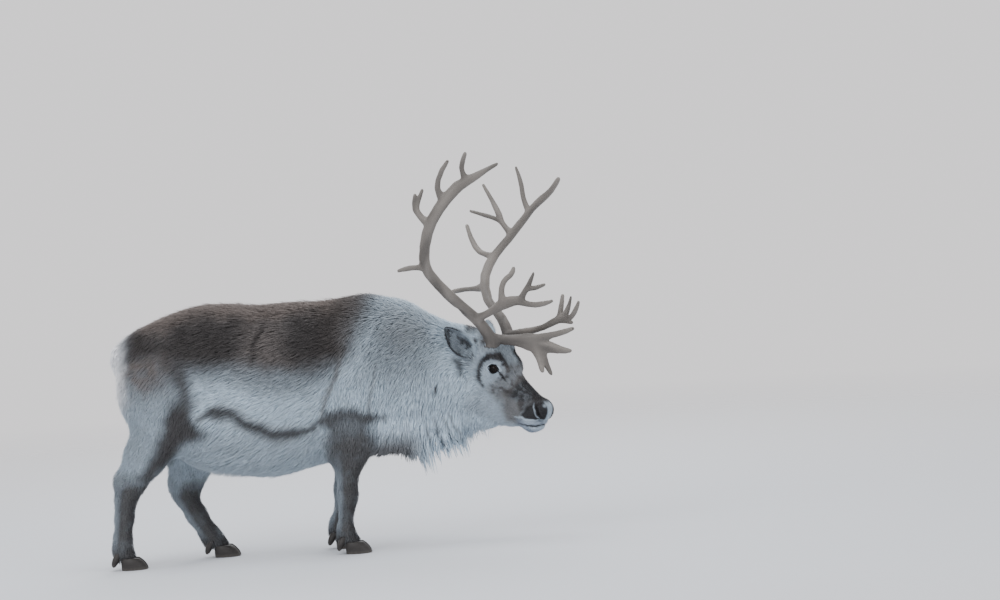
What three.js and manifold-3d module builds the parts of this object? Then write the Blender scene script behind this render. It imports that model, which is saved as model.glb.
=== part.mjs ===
// A Svalbard reindeer bull in winter coat, standing in mid step with its head low, life size.
// Millimetres. X runs forward along the back, Y to the animal's left, Z up from the soles.
import * as THREE from 'three';
import { mergeVertices } from 'three/addons/utils/BufferGeometryUtils.js';
import Module from 'manifold-3d';

const wasm = await Module();
wasm.setup();

// Driving dimensions
const GAP = 0.3;
const WELD = 0.02;
const SEAT_GAP = 0.5;
const BODY_CELL = 50;
const RUMP_CAP = 108;
const RUMP_START = -278;
const CHEST_END = 640;
const CHEST_CAP = 120;
const HEAD_YAW = -30 * Math.PI / 180;
const HEAD_PIVOT = new THREE.Vector3(925, -30, 0);
const FACE_PITCH = 40 * Math.PI / 180;
const FACE_ORIGIN = { forward: 40, up: 680 };
const NAPE_PITCH = 11 * Math.PI / 180;
const HOOF = { length: 94, width: 46, cleft: 5, bow: 7 };
const DEWCLAW = { radius: 12, spread: 24, lift: 4 };

// Colours of the coat, the antlers and the small hard parts
const COLOURS = {
  saddle: 0x6f6259,
  pale: 0xc9ccd0,
  leg: 0x8b827a,
  face: 0xb4b2b1,
  antler: 0x9a8f82,
  hoof: 0x2c2724,
  eye: 0x120e0c,
};

// Small helpers
const lerp = (a, b, t) => a + (b - a) * t;
const clamp = (v, a, b) => Math.min(Math.max(v, a), b);
const vec = (x, y, z) => new THREE.Vector3(x, y, z);

// A seeded random number between 0 and 1.
function randomFrom(seed) {
  let state = seed;
  return () => {
    state = (state * 1664525 + 1013904223) % 4294967296;
    return state / 4294967296;
  };
}

// A smooth curve through a few [place, value, value ...] stations.
function profile(stations) {
  return (place) => {
    const last = stations.length - 1;
    let i = 0;
    while (i < last - 1 && place > stations[i + 1][0]) i += 1;
    const from = stations[Math.max(i - 1, 0)];
    const a = stations[i];
    const b = stations[i + 1];
    const to = stations[Math.min(i + 2, last)];
    const t = clamp((place - a[0]) / (b[0] - a[0]), 0, 1);
    const span = b[0] - a[0];
    return a.slice(1).map((value, n) => {
      const k = n + 1;
      const start = (b[k] - from[k]) / (b[0] - from[0]) * span;
      const end = (to[k] - value) / (to[0] - a[0]) * span;
      const t2 = t * t;
      const t3 = t2 * t;
      return value * (2 * t3 - 3 * t2 + 1) + start * (t3 - 2 * t2 + t)
        + b[k] * (3 * t2 - 2 * t3) + end * (t3 - t2);
    });
  };
}

// Joins two distances with a rounded valley of the given width.
function blend(a, b, width) {
  const h = Math.max(width - Math.abs(a - b), 0) / width;
  return Math.min(a, b) - h * h * width * 0.25;
}

// Solids from meshes and back. A mesh that was drawn inside out is turned round.
function solid(geometry) {
  const bare = geometry.clone();
  bare.deleteAttribute('normal');
  bare.deleteAttribute('uv');
  const merged = mergeVertices(bare, 1e-3);
  const places = new Float32Array(merged.attributes.position.array);
  const corners = new Uint32Array(merged.index.array);
  const make = () => new wasm.Manifold(new wasm.Mesh({
    numProp: 3,
    vertProperties: places,
    triVerts: corners,
  }));
  const body = make();
  if (body.volume() > 0) return body;
  for (let i = 0; i < corners.length; i += 3) {
    [corners[i + 1], corners[i + 2]] = [corners[i + 2], corners[i + 1]];
  }
  return make();
}

// A solid's mesh. Corners that a cut leaves closer than WELD become one, and the faces that this
// flattens, or folds against each other, are left out.
function geometryOf(body) {
  const mesh = body.getMesh();
  const places = new Float32Array(mesh.vertProperties);
  const spot = (n) => vec(places[n * 3], places[n * 3 + 1], places[n * 3 + 2]);
  const home = Array.from({ length: places.length / 3 }, (_, n) => n);
  const order = [...home].sort((a, b) => places[a * 3] - places[b * 3]);
  order.forEach((a, rank) => {
    if (home[a] !== a) return;
    for (let i = rank + 1; i < order.length; i += 1) {
      const b = order[i];
      if (places[b * 3] - places[a * 3] > WELD) break;
      if (home[b] === b && spot(a).distanceTo(spot(b)) < WELD) home[b] = a;
    }
  });
  const faces = new Map();
  for (let i = 0; i < mesh.triVerts.length; i += 3) {
    const corners = Array.from(mesh.triVerts.slice(i, i + 3), (n) => home[n]);
    if (new Set(corners).size < 3) continue;
    const key = [...corners].sort((a, b) => a - b).join();
    if (faces.has(key)) faces.delete(key);
    else faces.set(key, corners);
  }
  const geometry = new THREE.BufferGeometry();
  geometry.setAttribute('position', new THREE.BufferAttribute(places, 3));
  geometry.setIndex([...faces.values()].flat());
  return mergeVertices(geometry.toNonIndexed(), WELD / 100);
}

// The largest closed surface of a solid, with hollows filled and scraps dropped.
function largest(body) {
  const parts = body.decompose();
  return parts.reduce((best, part) => (part.volume() > best.volume() ? part : best));
}

// A piece cut clear of a neighbour that lies on the far side of a small shift.
function clearOf(piece, neighbour, shift) {
  const moved = solid(geometryOf(neighbour).translate(shift.x, shift.y, shift.z));
  return piece.subtract(neighbour).subtract(moved);
}

function geometryFrom(points, faces) {
  const geometry = new THREE.BufferGeometry();
  const places = new Float32Array(points.flatMap((p) => [p.x, p.y, p.z]));
  geometry.setAttribute('position', new THREE.BufferAttribute(places, 3));
  geometry.setIndex(faces);
  return geometry;
}

// A closed solid through rings of equal count, each ring turning left about the way forward.
function loft(rings) {
  const count = rings[0].length;
  const points = rings.flat();
  const faces = [];
  for (let i = 0; i + 1 < rings.length; i += 1) {
    for (let j = 0; j < count; j += 1) {
      const k = (j + 1) % count;
      const a = i * count + j;
      const b = i * count + k;
      const c = a + count;
      const d = b + count;
      const straight = points[a].distanceTo(points[d]);
      const crossed = points[b].distanceTo(points[c]);
      if (straight < crossed) faces.push(a, b, d, a, d, c);
      else faces.push(a, b, c, b, d, c);
    }
  }
  const middle = (ring) => ring.reduce((sum, p) => sum.add(p), vec(0, 0, 0)).divideScalar(count);
  const first = points.push(middle(rings[0])) - 1;
  const final = points.push(middle(rings[rings.length - 1])) - 1;
  const start = (rings.length - 1) * count;
  for (let j = 0; j < count; j += 1) {
    const k = (j + 1) % count;
    faces.push(first, k, j);
    faces.push(final, start + j, start + k);
  }
  return solid(geometryFrom(points, faces));
}

// A closed loop through rings of equal count.
function hoop(rings) {
  const count = rings[0].length;
  const total = rings.length * count;
  const faces = [];
  for (let i = 0; i < rings.length; i += 1) {
    for (let j = 0; j < count; j += 1) {
      const k = (j + 1) % count;
      const a = i * count + j;
      const b = i * count + k;
      const c = (a + count) % total;
      const d = (b + count) % total;
      faces.push(a, b, d, a, d, c);
    }
  }
  return solid(geometryFrom(rings.flat(), faces));
}

// A bent, tapered bar of oval section. Stations are [x, y, z, half width, half depth] and the
// depth points along "flat" as nearly as the path lets it.
function bar(stations, sides, steps, flat = vec(0, 1, 0), place = (p) => p) {
  const curve = new THREE.CatmullRomCurve3(stations.map((s) => vec(s[0], s[1], s[2])), false, 'centripetal');
  const rings = [];
  for (let i = 0; i <= steps; i += 1) {
    const u = i / steps;
    const centre = curve.getPoint(u);
    const way = curve.getTangent(u);
    const span = u * (stations.length - 1);
    const at = Math.min(Math.floor(span), stations.length - 2);
    const t = span - at;
    const wide = lerp(stations[at][3], stations[at + 1][3], t);
    const deep = lerp(stations[at][4] ?? stations[at][3], stations[at + 1][4] ?? stations[at + 1][3], t);
    const across = vec(0, 0, 0).crossVectors(flat, way).normalize();
    const over = vec(0, 0, 0).crossVectors(way, across).normalize();
    const ring = [];
    for (let j = 0; j < sides; j += 1) {
      const angle = 2 * Math.PI * j / sides;
      ring.push(place(centre.clone()
        .addScaledVector(across, Math.cos(angle) * wide)
        .addScaledVector(over, Math.sin(angle) * deep)));
    }
    rings.push(ring);
  }
  return loft(rings);
}

// A half space as a large box on the side of a plane that its normal points away from.
const FAR = 4000;
function behind(point, normal) {
  const box = new THREE.BoxGeometry(FAR, FAR, FAR);
  const way = normal.clone().normalize();
  box.translate(0, 0, -FAR / 2);
  box.applyQuaternion(new THREE.Quaternion().setFromUnitVectors(vec(0, 0, 1), way));
  box.translate(point.x, point.y, point.z);
  return solid(box);
}

// A box from its lowest and highest corners.
function block(low, high) {
  const box = new THREE.BoxGeometry(high.x - low.x, high.y - low.y, high.z - low.z);
  box.translate((low.x + high.x) / 2, (low.y + high.y) / 2, (low.z + high.z) / 2);
  return solid(box);
}

// Distance to a bent limb: joints are [x, y, z, half depth fore and aft, half width across].
function limb(joints, width = 18) {
  return (p) => {
    let nearest = Infinity;
    for (let i = 0; i + 1 < joints.length; i += 1) {
      const a = joints[i];
      const b = joints[i + 1];
      const run = [b[0] - a[0], b[1] - a[1], b[2] - a[2]];
      const from = [p.x - a[0], p.y - a[1], p.z - a[2]];
      const length2 = run[0] ** 2 + run[1] ** 2 + run[2] ** 2;
      const t = clamp((from[0] * run[0] + from[1] * run[1] + from[2] * run[2]) / length2, 0, 1);
      const off = [from[0] - run[0] * t, from[1] - run[1] * t, from[2] - run[2] * t];
      const deep = lerp(a[3], b[3], t);
      const wide = lerp(a[4], b[4], t);
      const reach = Math.hypot(off[0] / deep, off[2] / deep, off[1] / wide);
      nearest = blend(nearest, (reach - 1) * Math.min(deep, wide), width);
    }
    return nearest;
  };
}

// Distance to an egg with radii along X, Y and Z, leaning forward by an angle.
function egg(centre, radii, lean = 0) {
  const c = Math.cos(lean);
  const s = Math.sin(lean);
  return (p) => {
    const x = p.x - centre[0];
    const z = p.z - centre[2];
    const reach = Math.hypot(
      (x * c - z * s) / radii[0],
      (p.y - centre[1]) / radii[1],
      (x * s + z * c) / radii[2],
    );
    return (reach - 1) * Math.min(...radii);
  };
}

// Trunk: [station, back line, belly line, half width]
const TRUNK = profile([
  [RUMP_START, 858, 510, 140],
  [-230, 884, 440, 164],
  [-150, 916, 364, 192],
  [-50, 934, 324, 212],
  [50, 931, 306, 222],
  [150, 920, 293, 225],
  [250, 922, 305, 220],
  [350, 918, 328, 206],
  [450, 915, 342, 190],
  [550, 912, 356, 176],
  [CHEST_END, 896, 376, 160],
]);

function trunk(p) {
  const x = clamp(p.x, RUMP_START, CHEST_END);
  const [back, belly, half] = TRUNK(x);
  const centre = lerp(belly, back, 0.46);
  const tall = p.z > centre ? back - centre : centre - belly;
  const power = p.z > centre ? 2.15 : 2.35;
  const rear = Math.max(0, RUMP_START - p.x) / RUMP_CAP;
  const front = Math.max(0, p.x - CHEST_END) / CHEST_CAP;
  const sum = (Math.abs(p.y) / half) ** power + (Math.abs(p.z - centre) / tall) ** power
    + rear ** 2.2 + front ** 2.4;
  return (sum ** (1 / power) - 1) * Math.min(half, tall);
}

// Neck: a narrow crest over a deep, broad core of the coat, which the mane's locks hang from
const crest = limb([
  [560, 0, 690, 216, 146],
  [700, 0, 690, 164, 112],
  [800, -4, 676, 130, 80],
  [876, -14, 674, 110, 60],
  [940, -32, 672, 94, 52],
], 24);
const throat = limb([
  [560, 0, 606, 226, 168],
  [700, 0, 598, 203, 156],
  [800, -6, 578, 168, 140],
  [870, -16, 558, 138, 122],
  [930, -34, 544, 112, 102],
], 24);
const neck = (p) => blend(crest(p), throat(p), 40);

// Legs: joints of each from the body to the hoof
const LEGS = {
  hind_right: {
    side: -1,
    joints: [
      [-238, -104, 620, 112, 80],
      [-228, -116, 500, 98, 72],
      [-296, -120, 408, 76, 56],
      [-354, -118, 318, 52, 40],
      [-379, -116, 256, 38, 31],
      [-389, -115, 190, 33, 28],
      [-401, -114, 112, 32, 27],
      [-404, -113, 72, 36, 31],
      [-394, -113, 40, 40, 34],
    ],
    point: [-388, -118, 334, 22, 18],
    toe: -314,
    cuts: { upper: 388, hock: 268, fetlock: 92 },
    lean: 0.62,
  },
  hind_left: {
    side: 1,
    joints: [
      [-225, 108, 600, 128, 84],
      [-156, 114, 440, 106, 74],
      [-152, 116, 350, 77, 58],
      [-168, 116, 284, 56, 43],
      [-177, 115, 232, 41, 33],
      [-143, 113, 160, 36, 28],
      [-102, 111, 88, 34, 28],
      [-86, 110, 62, 37, 31],
      [-68, 110, 36, 41, 34],
    ],
    point: [-212, 117, 282, 26, 20],
    toe: 12,
    cuts: { upper: 318, hock: 222, fetlock: 82 },
    lean: 0.2,
  },
  fore_right: {
    side: -1,
    joints: [
      [452, -112, 520, 96, 66],
      [446, -112, 420, 76, 54],
      [440, -108, 345, 54, 42],
      [431, -106, 280, 36, 34],
      [425, -105, 215, 31, 31],
      [416, -104, 150, 24, 24],
      [409, -104, 92, 28, 27],
      [412, -104, 62, 33, 31],
      [426, -104, 34, 40, 34],
    ],
    point: [427, -105, 212, 32, 32],
    toe: 502,
    cuts: { upper: 308, hock: 188, fetlock: 88 },
    lean: 0,
  },
  fore_left: {
    side: 1,
    joints: [
      [448, 112, 520, 96, 66],
      [436, 112, 420, 76, 54],
      [424, 108, 345, 54, 42],
      [416, 106, 280, 35, 34],
      [409, 105, 215, 30, 31],
      [394, 104, 150, 24, 24],
      [372, 104, 92, 28, 27],
      [372, 104, 62, 33, 31],
      [385, 104, 34, 40, 34],
    ],
    point: [403, 105, 212, 32, 32],
    toe: 461,
    cuts: { upper: 308, hock: 188, fetlock: 88 },
    lean: 0,
  },
};

for (const leg of Object.values(LEGS)) {
  const chain = limb(leg.joints);
  const knob = egg(leg.point.slice(0, 3), [leg.point[3], leg.point[4], leg.point[3] * 1.5], leg.lean);
  leg.field = (p) => blend(chain(p), knob(p), 26);
}

// Haunches, shoulders and the buttocks, which swell the trunk's sides
const SWELLS = [
  egg([-236, -84, 680], [124, 84, 190], 0.1),
  egg([-226, 84, 670], [124, 84, 190], -0.1),
  egg([466, -104, 620], [112, 82, 220], 0.14),
  egg([460, 104, 620], [112, 82, 220], 0.14),
];

// Head: a frame that is turned to the animal's right and nods down along the face
const fromHead = (f, l, z) => vec(f, l, z).applyAxisAngle(vec(0, 0, 1), HEAD_YAW).add(HEAD_PIVOT);
const toHead = (p) => p.clone().sub(HEAD_PIVOT).applyAxisAngle(vec(0, 0, 1), -HEAD_YAW);
const FACE_WAY = { forward: Math.cos(FACE_PITCH), up: -Math.sin(FACE_PITCH) };

// A point of the face: along it towards the nose, outwards to the left, and above its axis.
function onFace(along, out, above) {
  const f = FACE_ORIGIN.forward + along * FACE_WAY.forward - above * FACE_WAY.up;
  const z = FACE_ORIGIN.up + along * FACE_WAY.up + above * FACE_WAY.forward;
  return fromHead(f, out, z);
}

// Skull: [along, brow and nose line, jaw line, half width above, half width below]
const SKULL = profile([
  [-70, 34, -96, 60, 58],
  [-14, 62, -114, 74, 68],
  [40, 71, -122, 80, 72],
  [86, 63, -121, 78, 70],
  [130, 46, -117, 62, 58],
  [170, 32, -111, 53, 50],
  [228, 24, -108, 46, 42],
  [286, 19, -113, 46, 42],
  [316, 15, -106, 43, 38],
]);
const NOSE_START = 302;
const NOSE_CAP = 34;
const NAPE_START = -70;
const NAPE_CAP = 60;

function skull(p) {
  const h = toHead(p);
  const f = h.x - FACE_ORIGIN.forward;
  const z = h.z - FACE_ORIGIN.up;
  const along = f * FACE_WAY.forward + z * FACE_WAY.up;
  const above = -f * FACE_WAY.up + z * FACE_WAY.forward;
  const [top, bottom, high, low] = SKULL(clamp(along, NAPE_START, NOSE_START));
  const centre = (top + bottom) / 2;
  const tall = (top - bottom) / 2;
  const share = clamp(0.5 + (above - centre) / (2 * tall), 0, 1);
  const half = lerp(low, high, share);
  const rear = Math.max(0, NAPE_START - along) / NAPE_CAP;
  const front = Math.max(0, along - NOSE_START) / NOSE_CAP;
  const sum = (Math.abs(h.y) / half) ** 2.3 + (Math.abs(above - centre) / tall) ** 2.3
    + rear ** 2 + front ** 2.2;
  return (sum ** (1 / 2.3) - 1) * Math.min(half, tall);
}

// Swellings of the head, in the face's own frame: along, out, above and three radii
function boss(along, out, above, long, wide, deep) {
  const centre = onFace(along, out, above);
  const way = onFace(along + 1, out, above).sub(centre);
  const side = onFace(along, out + 1, above).sub(centre);
  const rise = onFace(along, out, above + 1).sub(centre);
  return (p) => {
    const d = p.clone().sub(centre);
    const reach = Math.hypot(d.dot(way) / long, d.dot(side) / wide, d.dot(rise) / deep);
    return (reach - 1) * Math.min(long, wide, deep);
  };
}

const BOSSES = [1, -1].flatMap((side) => [
  boss(86, side * 54, 16, 44, 27, 33),
  boss(56, side * 58, 44, 34, 17, 14),
  boss(62, side * 44, -62, 66, 32, 50),
  boss(14, side * 54, 50, 34, 28, 30),
  boss(302, side * 24, -12, 28, 24, 26),
  boss(296, side * 22, -74, 34, 23, 22),
]);

// Cheek ruff and beard core, under the jaw
const ruffCore = limb([
  [fromHead(-10, 0, 560).x, fromHead(-10, 0, 560).y, 560, 130, 108],
  [fromHead(60, 0, 512).x, fromHead(60, 0, 512).y, 512, 92, 84],
  [fromHead(130, 0, 464).x, fromHead(130, 0, 464).y, 464, 46, 46],
], 24);

function headField(p) {
  let d = skull(p);
  for (const swell of BOSSES) d = blend(d, swell(p), 26);
  return blend(d, ruffCore(p), 36);
}

function fleshField(p) {
  let d = blend(trunk(p), neck(p), 60);
  for (const swell of SWELLS) d = blend(d, swell(p), 50);
  for (const leg of Object.values(LEGS)) d = blend(d, leg.field(p), 46);
  return blend(d, headField(p), 30);
}

// The way in which a field grows fastest, which points out of its surface.
function slopeOf(field, p) {
  return vec(
    field(p.clone().setX(p.x + 1)) - field(p.clone().setX(p.x - 1)),
    field(p.clone().setY(p.y + 1)) - field(p.clone().setY(p.y - 1)),
    field(p.clone().setZ(p.z + 1)) - field(p.clone().setZ(p.z - 1)),
  ).divideScalar(2);
}

// The surface of a field on a grid of cubes, each corner drawn onto the surface.
function skinOf(field, low, high, cell) {
  const counts = ['x', 'y', 'z'].map((axis) => Math.ceil((high[axis] - low[axis]) / cell) + 1);
  const [nx, ny, nz] = counts;
  const at = (i, j, k) => (k * ny + j) * nx + i;
  const values = new Float64Array(nx * ny * nz);
  const spot = (i, j, k) => vec(low.x + i * cell, low.y + j * cell, low.z + k * cell);
  const rim = (n, count) => n === 0 || n === count - 1;
  for (let k = 0; k < nz; k += 1) {
    for (let j = 0; j < ny; j += 1) {
      for (let i = 0; i < nx; i += 1) {
        const value = field(spot(i, j, k));
        const border = rim(i, nx) || rim(j, ny) || rim(k, nz);
        values[at(i, j, k)] = border ? Math.max(value, cell / 4) : value;
      }
    }
  }
  const points = [];
  const cells = new Map();
  const settle = (point) => {
    const home = point.clone();
    for (let turn = 0; turn < 4; turn += 1) {
      const value = field(point);
      const slope = slopeOf(field, point);
      point.addScaledVector(slope, -value / Math.max(slope.lengthSq(), 0.05));
    }
    const moved = point.clone().sub(home).clampLength(0, cell * 0.45);
    return home.add(moved);
  };
  for (let k = 0; k + 1 < nz; k += 1) {
    for (let j = 0; j + 1 < ny; j += 1) {
      for (let i = 0; i + 1 < nx; i += 1) {
        const crossings = [];
        const edge = (a, b) => {
          const va = values[at(...a)];
          const vb = values[at(...b)];
          if ((va < 0) === (vb < 0)) return;
          crossings.push(spot(...a).lerp(spot(...b), va / (va - vb)));
        };
        for (const u of [0, 1]) {
          for (const v of [0, 1]) {
            edge([i, j + u, k + v], [i + 1, j + u, k + v]);
            edge([i + u, j, k + v], [i + u, j + 1, k + v]);
            edge([i + u, j + v, k], [i + u, j + v, k + 1]);
          }
        }
        if (!crossings.length) continue;
        const middle = crossings.reduce((sum, p) => sum.add(p), vec(0, 0, 0)).divideScalar(crossings.length);
        cells.set(at(i, j, k), points.push(settle(middle)) - 1);
      }
    }
  }
  const faces = [];
  const quad = (a, b, c, d, flip) => {
    const ring = flip ? [d, c, b, a] : [a, b, c, d];
    const [p, q, r, s] = ring.map((n) => points[n]);
    if (p.distanceTo(r) < q.distanceTo(s)) faces.push(ring[0], ring[1], ring[2], ring[0], ring[2], ring[3]);
    else faces.push(ring[0], ring[1], ring[3], ring[1], ring[2], ring[3]);
  };
  for (let k = 0; k + 1 < nz; k += 1) {
    for (let j = 0; j + 1 < ny; j += 1) {
      for (let i = 0; i + 1 < nx; i += 1) {
        const inside = values[at(i, j, k)] < 0;
        const corner = (x, y, z) => cells.get(at(i - x, j - y, k - z));
        if (inside !== values[at(i + 1, j, k)] < 0) {
          quad(corner(0, 1, 1), corner(0, 0, 1), corner(0, 0, 0), corner(0, 1, 0), !inside);
        }
        if (inside !== values[at(i, j + 1, k)] < 0) {
          quad(corner(1, 0, 1), corner(1, 0, 0), corner(0, 0, 0), corner(0, 0, 1), !inside);
        }
        if (inside !== values[at(i, j, k + 1)] < 0) {
          quad(corner(1, 1, 0), corner(0, 1, 0), corner(0, 0, 0), corner(1, 0, 0), !inside);
        }
      }
    }
  }
  return solid(geometryFrom(points, faces));
}

// The place where a ray that starts inside a field leaves it, or its end where it doesn't.
function leaving(field, from, ray, most) {
  const at = (far) => from.clone().addScaledVector(ray, far);
  let near = 0;
  let far = 4;
  while (far < most && field(at(far)) < 0) {
    near = far;
    far += 6;
  }
  far = Math.min(far, most);
  for (let turn = 0; turn < 14; turn += 1) {
    const half = (near + far) / 2;
    if (field(at(half)) < 0) near = half;
    else far = half;
  }
  return at((near + far) / 2);
}

// A ring of points on the field's surface, in the plane through a centre across a way.
function ringOn(field, centre, way, up, count, most) {
  const forward = way.clone().normalize();
  const across = vec(0, 0, 0).crossVectors(up, forward).normalize();
  const over = vec(0, 0, 0).crossVectors(forward, across);
  const ring = [];
  for (let j = 0; j < count; j += 1) {
    const angle = 2 * Math.PI * j / count;
    const ray = across.clone().multiplyScalar(Math.cos(angle)).addScaledVector(over, Math.sin(angle));
    ring.push(leaving(field, centre, ray, most));
  }
  return ring;
}

// The group and its nodes
const reindeer = new THREE.Group();
reindeer.name = 'reindeer';

function add(name, body, colour, roughness = 0.9) {
  const material = new THREE.MeshStandardMaterial({ color: COLOURS[colour], roughness, metalness: 0 });
  const mesh = new THREE.Mesh(geometryOf(largest(body)), material);
  mesh.name = name;
  reindeer.add(mesh);
}

// Locks: flat tapered blades of diamond section. Each starts inside the coat's core, leaves it
// along its lie and then bends down until it hangs.
const LOCK_SINK = 18;
const LOCK_DEPTH = 9;
const LOCK_STIFF = 0.8;
const LOCK_STEPS = 4;
const LOCK_WIDE = [0.8, 1, 0.86, 0.56, 0.04];
const LOCK_THICK = [1, 1, 0.8, 0.5, 0.08];
function lock(field, root, hang, length, wide) {
  const out = slopeOf(field, root).normalize();
  const lie = hang.clone().addScaledVector(out, -hang.dot(out)).normalize();
  const way = lie.lerp(hang, Math.max(0, hang.dot(out)) * LOCK_STIFF).normalize();
  const p = root.clone().addScaledVector(out, -LOCK_SINK);
  const stations = [];
  for (let i = 0; i <= LOCK_STEPS; i += 1) {
    stations.push([p.x, p.y, p.z, wide * LOCK_WIDE[i], LOCK_DEPTH * LOCK_THICK[i]]);
    p.addScaledVector(way.clone().lerp(hang, i / LOCK_STEPS).normalize(), length / LOCK_STEPS);
    if (i === 0) p.addScaledVector(out, LOCK_SINK + LOCK_DEPTH * 0.5);
  }
  return bar(stations, 4, LOCK_STEPS, out);
}

// Locks in tiers round the underside of a core. Each tier is [angle from straight down, share of
// length], and "spot" gives the middle, the length and the half width at a place from 0 to 1.
function locks(field, tiers, count, spot, hangOf, random) {
  const made = [];
  tiers.forEach(([angle, share], tier) => {
    for (let i = 0; i < count; i += 1) {
      const place = clamp((i + 0.5 * (tier % 2) + 0.3 * random()) / count, 0, 1);
      const { middle, across, length, wide } = spot(place);
      const turn = angle + (random() - 0.5) * 0.14;
      const ray = vec(0, 0, -Math.cos(turn)).addScaledVector(across, Math.sin(turn));
      const root = leaving(field, middle, ray, 300);
      const hang = hangOf(random() - 0.5).normalize();
      const long = length * share * (0.88 + 0.24 * random());
      made.push(lock(field, root, hang, long, wide * (0.85 + 0.3 * random())));
    }
  });
  return made;
}

// Trunk, neck and the upper legs, meshed as one skin and parted by thin cuts
const SHOULDER = { point: vec(572, 0, 600), way: vec(1, 0, -0.2) };
const NAPE_WAY = fromHead(Math.cos(NAPE_PITCH), 0, -Math.sin(NAPE_PITCH)).sub(fromHead(0, 0, 0));
const NAPE_POINT = fromHead(6, 0, 600);

function legPoint(leg, height) {
  for (let i = 0; i + 1 < leg.joints.length; i += 1) {
    const a = leg.joints[i];
    const b = leg.joints[i + 1];
    if (height <= a[2] && height >= b[2]) {
      const t = (a[2] - height) / (a[2] - b[2]);
      return vec(lerp(a[0], b[0], t), lerp(a[1], b[1], t), height);
    }
  }
  throw new Error('no such height on the leg');
}

// Regions of the upper legs: [rear, front, inner side, height at the rear, height at the front]
const UPPER = {
  hind_right: [-520, -40, 14, 560, 440],
  hind_left: [-380, 20, 14, 520, 400],
  fore_right: [340, 540, 46, 410, 410],
  fore_left: [325, 530, 46, 410, 410],
};

function upperRegion(name, grow) {
  const [rear, front, inner, high, low] = UPPER[name];
  const side = LEGS[name].side;
  const edge = inner - grow;
  const walls = block(
    vec(rear, side > 0 ? edge : -420, LEGS[name].cuts.upper - 200),
    vec(front + grow, side > 0 ? 420 : -edge, 900),
  );
  const way = vec(high - low, 0, front - rear);
  return walls.intersect(behind(vec(rear, 0, high + grow), way));
}

// Mane: three tiers on each side of the throat and one along its middle
const MANE = profile([[530, 40], [600, 60], [700, 92], [800, 112], [860, 82], [930, 40]]);
function maneLocks() {
  const spot = (place) => {
    const x = lerp(534, 930, place);
    return { middle: vec(x, -34 * place ** 3, 560), across: vec(0, 1, 0), length: MANE(x)[0] + 10, wide: 46 };
  };
  const hangOf = (sway) => vec(0.3 + 0.2 * sway, 0.1 * sway, -1);
  const tiers = [[-1.15, 1.6], [1.15, 1.6], [-0.72, 1.4], [0.72, 1.4], [-0.34, 1.2], [0.34, 1.2], [0, 1.1]];
  return locks(fleshField, tiers, 5, spot, hangOf, randomFrom(7));
}

const CORONET = 44;
const SKIN_LOW = vec(-440, -300, 200);
const SKIN_HIGH = vec(1080, 300, 990);
const fleshSkin = skinOf(fleshField, SKIN_LOW, SKIN_HIGH, BODY_CELL);
const napeSide = behind(NAPE_POINT, NAPE_WAY);
let flesh = largest(fleshSkin.intersect(napeSide));
const legNames = Object.keys(LEGS);
for (const name of legNames) {
  const leg = LEGS[name];
  const at = legPoint(leg, leg.cuts.upper);
  const low = vec(at.x - 170, leg.side > 0 ? 30 : -240, 100);
  const high = vec(at.x + 108, leg.side > 0 ? 240 : -30, leg.cuts.upper);
  flesh = flesh.subtract(block(low, high));
}
flesh = largest(flesh);
const frontOf = SHOULDER.way.clone().negate();
const frontPoint = SHOULDER.point.clone().addScaledVector(SHOULDER.way.clone().normalize(), GAP);
let neckBody = flesh;
for (const piece of maneLocks()) neckBody = neckBody.add(piece);
neckBody = neckBody.intersect(behind(frontPoint, frontOf)).intersect(napeSide);
let torsoBody = flesh.intersect(behind(SHOULDER.point, SHOULDER.way));
for (const name of legNames) {
  add(`leg_${name}_upper`, torsoBody.intersect(upperRegion(name, 0)), 'leg');
  torsoBody = torsoBody.subtract(upperRegion(name, GAP));
}
add('torso', torsoBody, 'saddle');
add('neck', neckBody, 'pale');

// Lower legs: rings on the same skin, from the upper cut to the coronet of the hooves
const LEG_SIDES = 11;
function legRings(leg, top, bottom, count) {
  const rings = [];
  for (let i = 0; i <= count; i += 1) {
    const height = lerp(top, bottom, i / count);
    const centre = legPoint(leg, height);
    rings.push(ringOn(leg.field, centre, vec(0, 0, -1), vec(1, 0, 0), LEG_SIDES, 170));
  }
  return loft(rings);
}
for (const name of legNames) {
  const leg = LEGS[name];
  const { upper, hock, fetlock } = leg.cuts;
  add(`leg_${name}_middle`, legRings(leg, upper - GAP, hock, 5), 'leg');
  add(`leg_${name}_cannon`, legRings(leg, hock - GAP, fetlock, 5), 'leg');
  add(`leg_${name}_foot`, legRings(leg, fetlock - GAP, CORONET, 3), 'leg');
}

// Hooves: two broad crescent toes and two dewclaws a foot
const HOOF_RINGS = [[0, 1, 0], [0.3, 0.97, 2], [0.7, 0.85, 8], [1, 0.7, 14]];
const HOOF_SIDES = 10;
function toe(leg, inward) {
  const heel = leg.joints[leg.joints.length - 1][1];
  const middle = heel + inward * (HOOF.width / 2 + HOOF.cleft / 2);
  const rings = HOOF_RINGS.map(([rise, size, back]) => {
    const ring = [];
    for (let j = 0; j < HOOF_SIDES; j += 1) {
      const angle = 2 * Math.PI * (j + 0.5) / HOOF_SIDES;
      const ahead = Math.cos(angle);
      const out = Math.sin(angle);
      const bow = Math.max(0, ahead) ** 2 * HOOF.bow * -inward;
      const flat = out * inward < 0 ? 0.78 : 1;
      ring.push(vec(
        leg.toe - HOOF.length / 2 - back + ahead * HOOF.length * 0.5 * size,
        middle + bow + out * flat * HOOF.width * 0.5 * size,
        rise * (CORONET - GAP),
      ));
    }
    return ring;
  });
  return loft(rings);
}

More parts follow.
